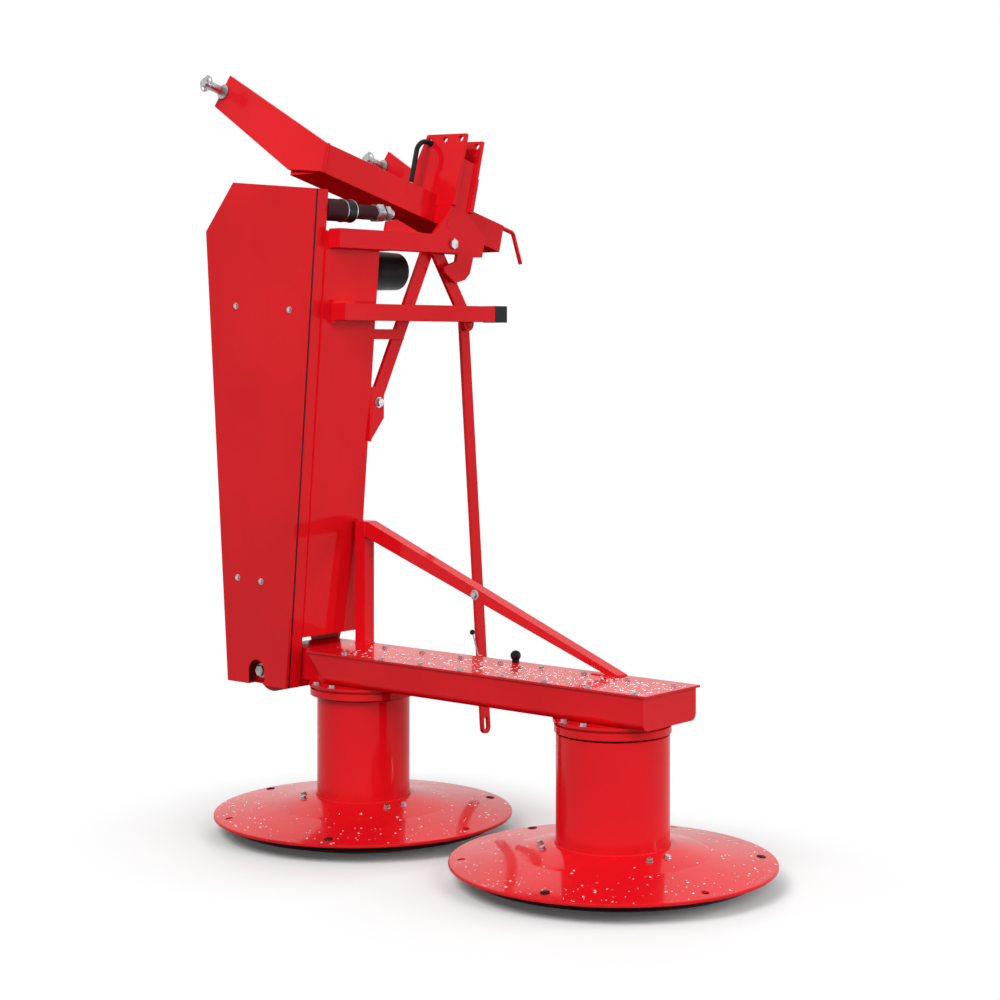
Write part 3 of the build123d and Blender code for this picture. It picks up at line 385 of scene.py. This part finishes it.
class Shape:
    """Vertices and faces gathered for one piece."""

    def __init__(self):
        self.points = []
        self.faces = []

    def rings(self, rings, wrap=False):
        """Join rings of points, each as long as the first, into a closed skin."""
        start = len(self.points)
        count = len(rings[0])
        for ring in rings:
            self.points.extend(ring)
        pairs = len(rings) if wrap else len(rings) - 1
        for row in range(pairs):
            low = start + row * count
            high = start + (row + 1) % len(rings) * count
            for i in range(count):
                j = (i + 1) % count
                self.faces.append((low + i, low + j, high + j, high + i))
        if not wrap:
            last = start + (len(rings) - 1) * count
            self.faces.append(tuple(start + i for i in reversed(range(count))))
            self.faces.append(tuple(last + i for i in range(count)))

    def turned(self, place, profile, sides=20, wrap=False):
        """Turn (radius, height) points about a place's own Z axis."""
        turns = [2 * math.pi * i / sides for i in range(sides)]
        self.rings([[place @ Vector((r * math.cos(a), r * math.sin(a), h)) for a in turns]
                    for r, h in profile], wrap)

    def band(self, place, inner, outer, low, high, sides=40):
        """A square-edged ring about a place's own Z axis."""
        self.turned(place, [(inner, low), (outer, low), (outer, high), (inner, high)], sides, wrap=True)

    def bolt(self, place, size, washer=1.7, stub=0.0):
        """A hexagon head or nut on its washer, with the thread's end standing out of a nut."""
        across, height = size
        radius = across / math.sqrt(3)
        thick = height * WASHER_SHARE
        ring = across * washer / 2
        self.turned(place, [(ring, -TOUCH), (ring, thick * 0.8), (ring * 0.96, thick)], 24)
        profile = [(radius, thick), (radius, thick + height * 0.84), (radius * 0.87, thick + height)]
        self.turned(place, profile, 6)
        if stub:
            end = thick + height + stub
            thread = across * 0.31
            profile = [(thread, thick), (thread, end - 2 * TOUCH), (across * 0.25, end)]
            self.turned(place, profile, 16)

    def slab(self, corners, through):
        """A flat plate between its corners and the same corners moved through its thickness."""
        corners = [Vector(c) for c in corners]
        self.rings([corners, [c + Vector(through) for c in corners]])

    def cup_head(self, place, radius):
        """A low domed head."""
        shares = ((1.0, 0.10), (0.80, 0.22), (0.4, 0.28))
        self.turned(place, [(radius, -TOUCH)] + [(radius * wide, radius * high) for wide, high in shares], 20)

    def tube(self, points, radius, sides=10, closed=False, ripple=0.0):
        """A round bar along points, rippled along its length for a weld."""
        rings = []
        count = len(points)
        travelled = 0.0
        normal = None
        for index, point in enumerate(points):
            ahead = points[(index + 1) % count] if closed or index + 1 < count else point
            behind = points[index - 1] if closed or index else point
            along = (ahead - behind).normalized()
            if normal is None:
                normal = along.orthogonal().normalized()
            normal = (normal - along * normal.dot(along)).normalized()
            side = along.cross(normal)
            if index:
                travelled += (point - points[index - 1]).length
            r = radius * (1 + ripple * math.sin(2 * math.pi * travelled / WELD_RIPPLE))
            rings.append([point + (normal * math.cos(a) + side * math.sin(a)) * r
                          for a in (2 * math.pi * i / sides for i in range(sides))])
        self.rings(rings, wrap=closed)

    def make(self, name, body, slot, smooth_angle=35.0):
        """Turn what was gathered into a piece that rides on a body."""
        mesh = bpy.data.meshes.new(name)
        mesh.from_pydata([tuple(p) for p in self.points], [], self.faces)
        mesh.validate()
        mesh.materials.append(LOOKS[slot])
        piece = bpy.data.objects.new(name, mesh)
        bpy.context.scene.collection.objects.link(piece)
        mesh.shade_smooth()
        mesh.set_sharp_from_angle(angle=math.radians(smooth_angle))
        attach(piece, body)
        return piece


def facing(point, direction):
    """A place at a point whose own Z axis looks along a direction."""
    return Matrix.Translation(point) @ Vector(direction).to_track_quat("Z", "Y").to_matrix().to_4x4()


def run(start, end, step=WELD_STEP):
    """Evenly spaced points from one end to the other."""
    start, end = Vector(start), Vector(end)
    count = max(2, int((end - start).length / step))
    return [start.lerp(end, i / count) for i in range(count + 1)]


def circle(center, axis, radius, step=WELD_STEP):
    """Evenly spaced points round a circle."""
    place = facing(center, axis)
    count = int(2 * math.pi * radius / step)
    turns = [2 * math.pi * i / count for i in range(count)]
    return [place @ Vector((radius * math.cos(a), radius * math.sin(a), 0)) for a in turns]


def curve(points, steps=8):
    """A smooth path through points."""
    padded = [points[0], *points, points[-1]]
    path = []
    for a, b, c, d in zip(padded, padded[1:], padded[2:], padded[3:]):
        for i in range(steps):
            t = i / steps
            path.append(0.5 * (2 * b + (c - a) * t + (2 * a - 5 * b + 4 * c - d) * t * t
                               + (3 * b - a - 3 * c + d) * t ** 3))
    return path + [points[-1]]


def bolts(name, body, slot, size, places, **options):
    """One piece of like bolts at (point, direction) places."""
    shape = Shape()
    for point, direction in places:
        shape.bolt(facing(point, direction), size, **options)
    return shape.make(name, body, slot)


def welds(name, body, lines, rings=()):
    """One piece of weld beads along straight lines and round circles."""
    shape = Shape()
    for start, end in lines:
        shape.tube(run(start, end), WELD_RADIUS, sides=6, ripple=WELD_SWELL)
    for center, axis, radius in rings:
        shape.tube(circle(center, axis, radius), WELD_RADIUS, sides=6, closed=True, ripple=WELD_SWELL)
    return shape.make(name, body, "red_paint", smooth_angle=80)


def around(center, radius, angle):
    """X and Y of a point round an upright axis, by its angle in degrees."""
    turn = math.radians(angle)
    return center.x + radius * math.cos(turn), center.y + radius * math.sin(turn)


def surface(node, x, y):
    """Where a plumb line from above meets a node and how the face lies there, or None in a hole."""
    hit, point, normal, _ = NODES[node].ray_cast(Vector((x, y, cad_box[1].z)), -UP)
    return (point, normal) if hit and normal.z > SURFACE_UP else None


def hitch_point(x, along, up):
    """A point of the hitch from its own axes: X, along the link pins, and across them."""
    return Vector((x, PIVOT.y, PIVOT.z)) + PINS_ALONG * along + HITCH_UP * up


def hitch_limits(node):
    """Lowest and highest values of a hitch node along its own axes."""
    values = []
    for vertex in NODES[node].data.vertices:
        offset = vertex.co - PIVOT
        values.append((vertex.co.x, offset.dot(PINS_ALONG), offset.dot(HITCH_UP)))
    return [min(v[i] for v in values) for i in range(3)], [max(v[i] for v in values) for i in range(3)]


# Cutter bar

def lid_details():
    """The lid's bolt rows, the collars' bolts, and the bolt and welds of the post and its diagonal."""
    low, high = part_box("gear_case_lid")
    post_low, post_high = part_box("frame_post")
    case_low, case_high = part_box("gear_case")
    rows = []
    x = high.x - LID_END_INSET
    while x > post_low.x:
        rows.append((Vector((x, low.y + LID_BOLT_INSET, high.z)), UP))
        rows.append((Vector((x, post_low.y - LID_BOLT_INSET, high.z)), UP))
        x -= LID_BOLT_PITCH
    bolts("lid_bolts", "cutter_bar", "zinc_plate", M8, rows, washer=1.35)
    ring = []
    for name, center in DRUM_AXES.items():
        collar_low, collar_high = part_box(f"bearing_neck_{name}")
        radius = (collar_high.x - collar_low.x) / 2 - COLLAR_INSET
        for step in range(COLLAR_BOLTS):
            x, y = around(center, radius, COLLAR_FIRST + step * 360 / COLLAR_BOLTS)
            if not case_low.y - COLLAR_INSET < y < case_high.y + COLLAR_INSET:
                ring.append((Vector((x, y, case_low.z)), UP))
    bolts("collar_bolts", "cutter_bar", "zinc_plate", M10, ring)
    x, z = DIAGONAL_BOLT
    bolts("diagonal_bolt", "cutter_bar", "zinc_plate", M12, [(Vector((x, post_low.y, z)), -AHEAD)])
    diagonal_low, diagonal_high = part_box("frame_diagonal")
    foot = high.z
    lines = [
        ((post_low.x, post_low.y, foot), (post_high.x, post_low.y, foot)),
        ((post_low.x, post_high.y, foot), (post_high.x, post_high.y, foot)),
        ((post_low.x, post_low.y, foot), (post_low.x, post_high.y, foot)),
        ((post_high.x, post_low.y, foot), (post_high.x, post_high.y, foot)),
        ((diagonal_high.x - DIAGONAL_WELD, diagonal_low.y, foot), (diagonal_high.x, diagonal_low.y, foot)),
        ((diagonal_high.x, diagonal_low.y, foot), (diagonal_high.x, diagonal_high.y, foot)),
        ((post_high.x, post_low.y, post_high.z - POST_WELD), (post_high.x, post_low.y, post_high.z)),
    ]
    welds("bar_welds", "cutter_bar", lines)


def trunnion_nuts():
    """Dark nuts on both ends of the hinge trunnion."""
    low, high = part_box("bevel_housing")
    places = [(Vector((HINGE.x, low.y, HINGE.z)), -AHEAD), (Vector((HINGE.x, high.y, HINGE.z)), AHEAD)]
    bolts("trunnion_nuts", "cutter_bar", "bare_shaft", M20, places, washer=1.5)


def drum_details():
    """Welds at the drums' feet, pairs of bolts round them and the knives' bolt heads."""
    for name, center in DRUM_AXES.items():
        body = f"drum_{name}"
        disc = f"disc_{name}"
        low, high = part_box(body)
        radius = (high.x - low.x) / 2
        welds(f"drum_welds_{name}", body, [], [((center.x, center.y, low.z), UP, radius)])
        pairs = [PAIR_FIRST + turn + side * PAIR_HALF for turn in PAIR_TURNS for side in (-1, 1)]
        places = [surface(disc, *around(center, radius + PAIR_OUT, angle)) for angle in pairs]
        bolts(f"disc_bolts_{name}", body, "zinc_plate", M10, places, washer=1.35)
        shape = Shape()
        for step in range(KNIVES):
            angle = KNIFE_FIRST[name] + step * 360 / KNIVES
            shape.cup_head(facing(*surface(disc, *around(center, KNIFE_CIRCLE, angle))), KNIFE_HEAD)
        shape.make(f"knife_heads_{name}", body, "skid_steel")


# Rain

def drop(shape, place, radius):
    """A flattened dome of water."""
    dome = [(radius * wide, radius * high) for wide, high in DROP_DOME]
    shape.turned(place, [(radius, DROP_GAP), *dome], 8)


def drop_size(chance, sizes):
    """A drop's radius, from half to one and a half times a value in a range."""
    return chance.uniform(*sizes) * (0.5 + chance.random())


def rain():
    """Raindrops that stand on the lid and on the discs."""
    chance = random.Random(RAIN_SEED)
    low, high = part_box("gear_case_lid")
    post_low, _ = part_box("frame_post")
    shape = Shape()
    for _ in range(LID_DROPS):
        x = post_low.x + (high.x - LID_END - post_low.x) * chance.random() ** LID_DROPS_OUTWARD
        y = chance.uniform(low.y + LID_EDGE, post_low.y - LID_EDGE)
        drop(shape, facing(Vector((x, y, high.z)), UP), drop_size(chance, LID_DROP_SIZES))
    shape.make("lid_rain", "cutter_bar", "rain_water", smooth_angle=60).visible_shadow = False
    for name, center in DRUM_AXES.items():
        drum_low, drum_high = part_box(f"drum_{name}")
        inner = (drum_high.x - drum_low.x) / 2 + DRUM_EDGE
        shape = Shape()
        for _ in range(DISC_DROPS):
            radius = inner + (KNIFE_CIRCLE + RIM_REACH - inner) * chance.random() ** DISC_DROPS_OUTWARD
            found = surface(f"disc_{name}", *around(center, radius, chance.uniform(0, 360)))
            size = drop_size(chance, DISC_DROP_SIZES)
            if found:
                drop(shape, facing(*found), size)
        shape.make(f"disc_rain_{name}", f"drum_{name}", "rain_water", smooth_angle=60).visible_shadow = False


# Drive arm

def right_edge(node):
    """Foot and head of the right-hand edge on a node's front face."""
    low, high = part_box(node)
    front = [v.co for v in NODES[node].data.vertices if v.co.y < low.y + TOUCH]
    foot = max((p for p in front if p.z < low.z + TOUCH), key=lambda p: p.x)
    head = min((p for p in front if p.x > high.x - TOUCH), key=lambda p: p.z)
    return foot, head


def guard_details():
    """Bolts on the belt guard's face, and a dark strip behind its folded edge that is painted shade for the gap
    there.
    """
    low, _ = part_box("belt_guard")
    places = [(Vector((HINGE.x + x, low.y, z)), -AHEAD) for x, z in GUARD_BOLTS]
    bolts("guard_bolts", "arm", "zinc_plate", M8, places, washer=1.5)
    foot, head = right_edge("belt_guard")
    back, wide = GAP_SHADE_STRIP
    # The dark strip is painted shade, standing for the shadow in the gap behind the fold.
    shape = Shape()
    outward = (head - foot).cross(AHEAD).normalized() * 2 * TOUCH
    near, far = AHEAD * back, AHEAD * (back + wide)
    shape.slab([foot + near, head + near, head + far, foot + far], outward if outward.x > 0 else -outward)
    shape.make("guard_gap_painted_shade", "arm", "skid_steel")


def arm_welds():
    """Welds of what stands on the arm: lug, bracket, bars, gusset and seat."""
    _, arm_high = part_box("arm_box")
    lug_low, lug_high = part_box("rear_lug")
    bracket_low, bracket_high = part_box("brace_bracket")
    cross_low, cross_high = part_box("cross_bar")
    gusset_low, gusset_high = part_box("bar_gusset")
    bar_low, bar_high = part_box("head_bar")
    lines = [
        ((lug_low.x, lug_low.y, lug_high.z), (lug_high.x, lug_low.y, lug_high.z)),
        ((bracket_high.x, arm_high.y, bracket_low.z), (bracket_high.x, arm_high.y, bracket_high.z)),
        ((cross_low.x, arm_high.y, cross_high.z), (cross_high.x, arm_high.y, cross_high.z)),
        ((gusset_high.x, gusset_low.y, gusset_low.z), (gusset_high.x, gusset_high.y, gusset_low.z)),
        ((bar_low.x, arm_high.y, bar_low.z), (bar_high.x, arm_high.y, bar_low.z)),
    ]
    welds("arm_welds", "arm", lines)


def arm_fasteners():
    """The pivot bolt's nut, the lever's pin head, the brace's bolt and the support tube's closed end."""
    _, lever_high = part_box("lift_lever")
    brace_low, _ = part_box("brace")
    _, bracket_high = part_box("brace_bracket")
    shape = Shape()
    shape.bolt(facing(Vector((brace_low.x, PIVOT.y, PIVOT.z)), -RIGHT), M24, stub=PIVOT_STUB)
    low_end = Vector((bracket_high.x, brace_low.y + LINK_HALF, brace_low.z + LINK_HALF))
    shape.bolt(facing(low_end, RIGHT), M16, washer=1.4)
    shape.bolt(facing(Vector((brace_low.x, low_end.y, low_end.z)), -RIGHT), M16, stub=BRACE_STUB)
    shape.make("arm_bolts", "arm", "zinc_plate")
    shape = Shape()
    shape.cup_head(facing(Vector((lever_high.x, ROD_TOP.y, ROD_TOP.z)), RIGHT), LEVER_PIN_HEAD)
    shape.make("lever_pin_head", "arm", "red_paint")
    low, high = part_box("support_tube")
    outline = ((low.x, low.z), (high.x, low.z), (high.x, high.z), (low.x, high.z))
    shape = Shape()
    shape.slab([(x, low.y, z) for x, z in outline], -AHEAD * SUPPORT_END)
    shape.make("support_end", "arm", "red_paint")


def spring_details():
    """The spring's black ring between two bright edges, a dark skin over its sleeve and thin end that is painted
    shade for the shade under the beam, and the two nuts on its bolt.
    """
    low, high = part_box("spring_tube")
    bolt_low, bolt_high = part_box("spring_bolt")
    radius = (high.x - low.x) / 2
    axis = facing(Vector(((low.x + high.x) / 2, 0, (low.z + high.z) / 2)), AHEAD)
    start, end = SPRING_RING
    shape = Shape()
    shape.band(axis, radius * SPRING_CORE, radius + 2 * TOUCH, start, end)
    shape.make("spring_ring", "arm", "black_plastic")
    # A dark skin over the red sleeve and thin end: painted shade for the shade under the beam.
    shape = Shape()
    shape.band(axis, SPRING_TUBE * SHADE_SKIN_CORE, SPRING_TUBE + TOUCH, end, bolt_low.y)
    shape.band(axis, radius * SPRING_CORE, radius + TOUCH, low.y, start)
    shape.make("spring_painted_shade", "arm", "skid_steel")
    shape = Shape()
    half, proud = SPRING_EDGE
    for y in (start, end):
        shape.band(axis, radius * SPRING_CORE, radius + proud, y - half, y + half)
    for along, share, thick in SPRING_NUTS:
        y = bolt_low.y + along
        wide = (bolt_high.x - bolt_low.x) * share
        first, last = NUT_ENDS
        sides = [(wide, y + NUT_CHAMFER), (wide, y + thick - NUT_CHAMFER)]
        shape.turned(axis, [(wide * first, y), *sides, (wide * last, y + thick)], 6)
    shape.make("spring_nut", "arm", "zinc_plate")


def input_details():
    """The splines on the input shaft, inside its guard."""
    guard_low, guard_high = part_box("input_guard")
    _, shaft_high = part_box("input_shaft")
    radius = MOUNTS["power_input"]["dims"]["r_mm"] / 1000
    center = Vector((HINGE.x, shaft_high.y - SPLINE_END, (guard_low.z + guard_high.z) / 2))
    shape = Shape()
    for step in range(SPLINES):
        angle = 2 * math.pi * step / SPLINES
        end = center + (RIGHT * math.cos(angle) + UP * math.sin(angle)) * radius
        shape.tube([end - AHEAD * SPLINE_LENGTH, end], SPLINE_RADIUS, sides=8)
    shape.make("input_splines", "arm", "bare_shaft")


# Lift rod

def rod_clip():
    """The wire clip with its ball on the lift rod."""
    path = curve([Vector(p) for p in CLIP_PATH])
    shape = Shape()
    shape.tube(path, CLIP_WIRE, sides=8)
    shape.make("clip_wire", "lift_rod", "zinc_plate", smooth_angle=60)
    shape = Shape()
    turns = [math.pi * (i + 0.5) / CLIP_BALL_RINGS for i in range(CLIP_BALL_RINGS)]
    profile = [(CLIP_BALL * math.sin(a), -CLIP_BALL * math.cos(a)) for a in turns]
    shape.turned(facing(path[-1], UP), profile, 16)
    shape.make("clip_ball", "lift_rod", "black_plastic", smooth_angle=60)


# Hitch

def hitch_welds():
    """Weld beads of the arms, the mast and the pivot plate on the beam, and the strip beside them."""
    beam_low, beam_high = hitch_limits("hitch_frame")
    arm_low, arm_high = hitch_limits("link_arm_right")
    near_low, near_high = hitch_limits("mast_plate_near")
    far_low, far_high = hitch_limits("mast_plate_far")
    _, plate_high = hitch_limits("pivot_plate")
    back, left, bottom = beam_low
    front, _, top = beam_high
    lines = [
        (hitch_point(back, left, top), hitch_point(front, left, top)),
        (hitch_point(front, left, bottom), hitch_point(front, left, top)),
        (hitch_point(back, arm_low[1], bottom), hitch_point(back, arm_low[1], top)),
        (hitch_point(back, arm_high[1], bottom), hitch_point(back, arm_high[1], top)),
        (hitch_point(near_low[0], near_low[1], top), hitch_point(front, near_low[1], top)),
        (hitch_point(near_low[0], far_high[1], top), hitch_point(front, far_high[1], top)),
        (hitch_point(front, near_low[1], near_low[2]), hitch_point(front, near_low[1], top)),
    ]
    plate_front = plate_high[0]
    for u in (near_high[1], far_low[1]):
        lines.append((hitch_point(plate_front, u, near_low[2]), hitch_point(plate_front, u, plate_high[2])))
    welds("hitch_welds", "hitch", lines)
    u = near_low[1]
    leg_front = plate_front + 2 * TOUCH
    corners = [(front, near_low[2]), (leg_front, near_low[2]), (leg_front, MAST_LEG_FOOT), (front, bottom)]
    shape = Shape()
    shape.slab([hitch_point(x, u, m) for x, m in corners], PINS_ALONG * (near_high[1] - u))
    shape.make("mast_leg", "hitch", "red_paint")


def hitch_pins():
    """A linch pin and its ring on each lower link pin."""
    shape = Shape()
    for side in ("left", "right"):
        low, high = hitch_limits(f"lower_pin_{side}")
        x, m = (low[0] + high[0]) / 2, (low[2] + high[2]) / 2
        center = hitch_point(x, low[1] + LINCH_INSET, m)
        below, above = LINCH_REACH
        shape.tube([center - HITCH_UP * below, center + HITCH_UP * above], LINCH_RADIUS)
        ring, wire = LINCH_RING
        shape.tube(circle(center, PINS_ALONG, ring, step=LINCH_RING_STEP), wire, sides=8, closed=True)
    shape.make("linch_pins", "hitch", "zinc_plate", smooth_angle=50)


def hose_ends():
    """The fittings that hold the hose at the mast and at the beam."""
    low, high = hitch_limits("hose")
    radius = (high[0] - low[0]) / 2
    x = (low[0] + high[0]) / 2
    shape = Shape()
    place = facing(hitch_point(x, low[1] + radius, low[2]), HITCH_UP)
    shape.turned(place, [(radius * share, h) for share, h in HOSE_NUT], 6)
    shape.turned(place, [(radius * share, h) for share, h in HOSE_FERRULE], 20)
    shape.make("hose_fitting", "hitch", "zinc_plate")
    shape = Shape()
    place = facing(hitch_point(x, high[1], high[2] - radius), -PINS_ALONG)
    shape.turned(place, [(radius * share, h) for share, h in HOSE_SLEEVE], 20)
    shape.make("hose_sleeve", "hitch", "black_plastic")


# Floor, light and camera

def seen_rays(tree):
    """A field that is 1 for rays that show the background: straight, mirrored or through water."""
    path = tree.nodes.new("ShaderNodeLightPath")
    mirrored = math_node(tree, "MAXIMUM", path.outputs["Is Camera Ray"], path.outputs["Is Glossy Ray"])
    return math_node(tree, "MAXIMUM", mirrored, path.outputs["Is Transmission Ray"])


def floor_paint():
    """White where it is seen, fading into the background, and a plain grey for the light it throws up."""
    material, bsdf = shader("floor_white", (0.9, 0.9, 0.9), 0.8)
    bsdf.inputs["Specular IOR Level"].default_value = 0.0
    tree = material.node_tree
    tree.links.new(ramp(tree, noise(tree, 1.5), grey(0.90, 0.92, 0.3, 0.7)), bsdf.inputs["Base Color"])
    coordinates = tree.nodes.new("ShaderNodeTexCoord")
    reaches = []
    for center in DRUM_AXES.values():
        distance = tree.nodes.new("ShaderNodeVectorMath")
        distance.operation = "DISTANCE"
        distance.inputs[1].default_value = (center.x, center.y, 0)
        tree.links.new(coordinates.outputs["Object"], distance.inputs[0])
        reaches.append(distance.outputs["Value"])
    nearest = math_node(tree, "MINIMUM", *reaches)
    far = spread(tree, nearest, *SHADOW_REACH, SHADOW_WHITE, 1.0, style="SMOOTHSTEP")
    white = tree.nodes.new("ShaderNodeEmission")
    bounce = tree.nodes.new("ShaderNodeBsdfDiffuse")
    bounce.inputs["Color"].default_value = (FLOOR_BOUNCE, FLOOR_BOUNCE, FLOOR_BOUNCE, 1)
    shown = tree.nodes.new("ShaderNodeMixShader")
    tree.links.new(far, shown.inputs[0])
    tree.links.new(bsdf.outputs["BSDF"], shown.inputs[1])
    tree.links.new(white.outputs["Emission"], shown.inputs[2])
    both = tree.nodes.new("ShaderNodeMixShader")
    tree.links.new(seen_rays(tree), both.inputs[0])
    tree.links.new(bounce.outputs["BSDF"], both.inputs[1])
    tree.links.new(shown.outputs["Shader"], both.inputs[2])
    tree.links.new(both.outputs["Shader"], tree.nodes["Material Output"].inputs["Surface"])
    return material


def lay_floor():
    """A pale floor that runs into the white background."""
    mesh = bpy.data.meshes.new("floor")
    corners = [(x * FLOOR_HALF, y * FLOOR_HALF, 0) for x, y in ((-1, -1), (1, -1), (1, 1), (-1, 1))]
    mesh.from_pydata(corners, [], [(0, 1, 2, 3)])
    floor = bpy.data.objects.new("floor", mesh)
    bpy.context.scene.collection.objects.link(floor)
    floor.location.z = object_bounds()[0].z - TOUCH
    mesh.materials.append(floor_paint())


def light_world():
    """A background that is white where it is seen and gives a soft light."""
    world = bpy.data.worlds.new("studio")
    bpy.context.scene.world = world
    world.use_nodes = True
    tree = world.node_tree
    background = tree.nodes["Background"]
    background.inputs["Color"].default_value = (1, 1, 1, 1)
    strength = spread(tree, seen_rays(tree), 0.0, 1.0, WORLD_LIGHT, 1.0)
    tree.links.new(strength, background.inputs["Strength"])


def hang_lamps():
    """Soft lamps round the mower, of which only the strip shows in gloss."""
    for name, place, (width, height), power, mirrored in LAMPS:
        lamp = bpy.data.lights.new(name, "AREA")
        lamp.energy = power
        lamp.shape = "RECTANGLE"
        lamp.size = width
        lamp.size_y = height
        piece = bpy.data.objects.new(name, lamp)
        bpy.context.scene.collection.objects.link(piece)
        piece.location = place
        piece.rotation_euler = (LAMP_TARGET - Vector(place)).to_track_quat("-Z", "Y").to_euler()
        piece.visible_camera = False
        piece.visible_glossy = mirrored
        piece.visible_transmission = False


def place_camera():
    """A camera at the photograph's place, framed on this one mower, and plain view settings."""
    data = bpy.data.cameras.new("camera")
    data.lens = CAMERA_LENS
    data.sensor_width = CAMERA_SENSOR
    data.shift_y = CAMERA_SHIFT_Y
    camera = bpy.data.objects.new("camera", data)
    bpy.context.scene.collection.objects.link(camera)
    camera.location = CAMERA_PLACE
    camera.rotation_euler = (math.radians(90), 0, math.radians(CAMERA_AZIMUTH))
    bpy.context.scene.camera = camera
    bpy.context.scene.view_settings.view_transform = "Standard"


dress_nodes()
lid_details()
trunnion_nuts()
drum_details()
rain()
guard_details()
arm_welds()
arm_fasteners()
spring_details()
input_details()
rod_clip()
hitch_welds()
hitch_pins()
hose_ends()
lay_floor()
light_world()
hang_lamps()
place_camera()
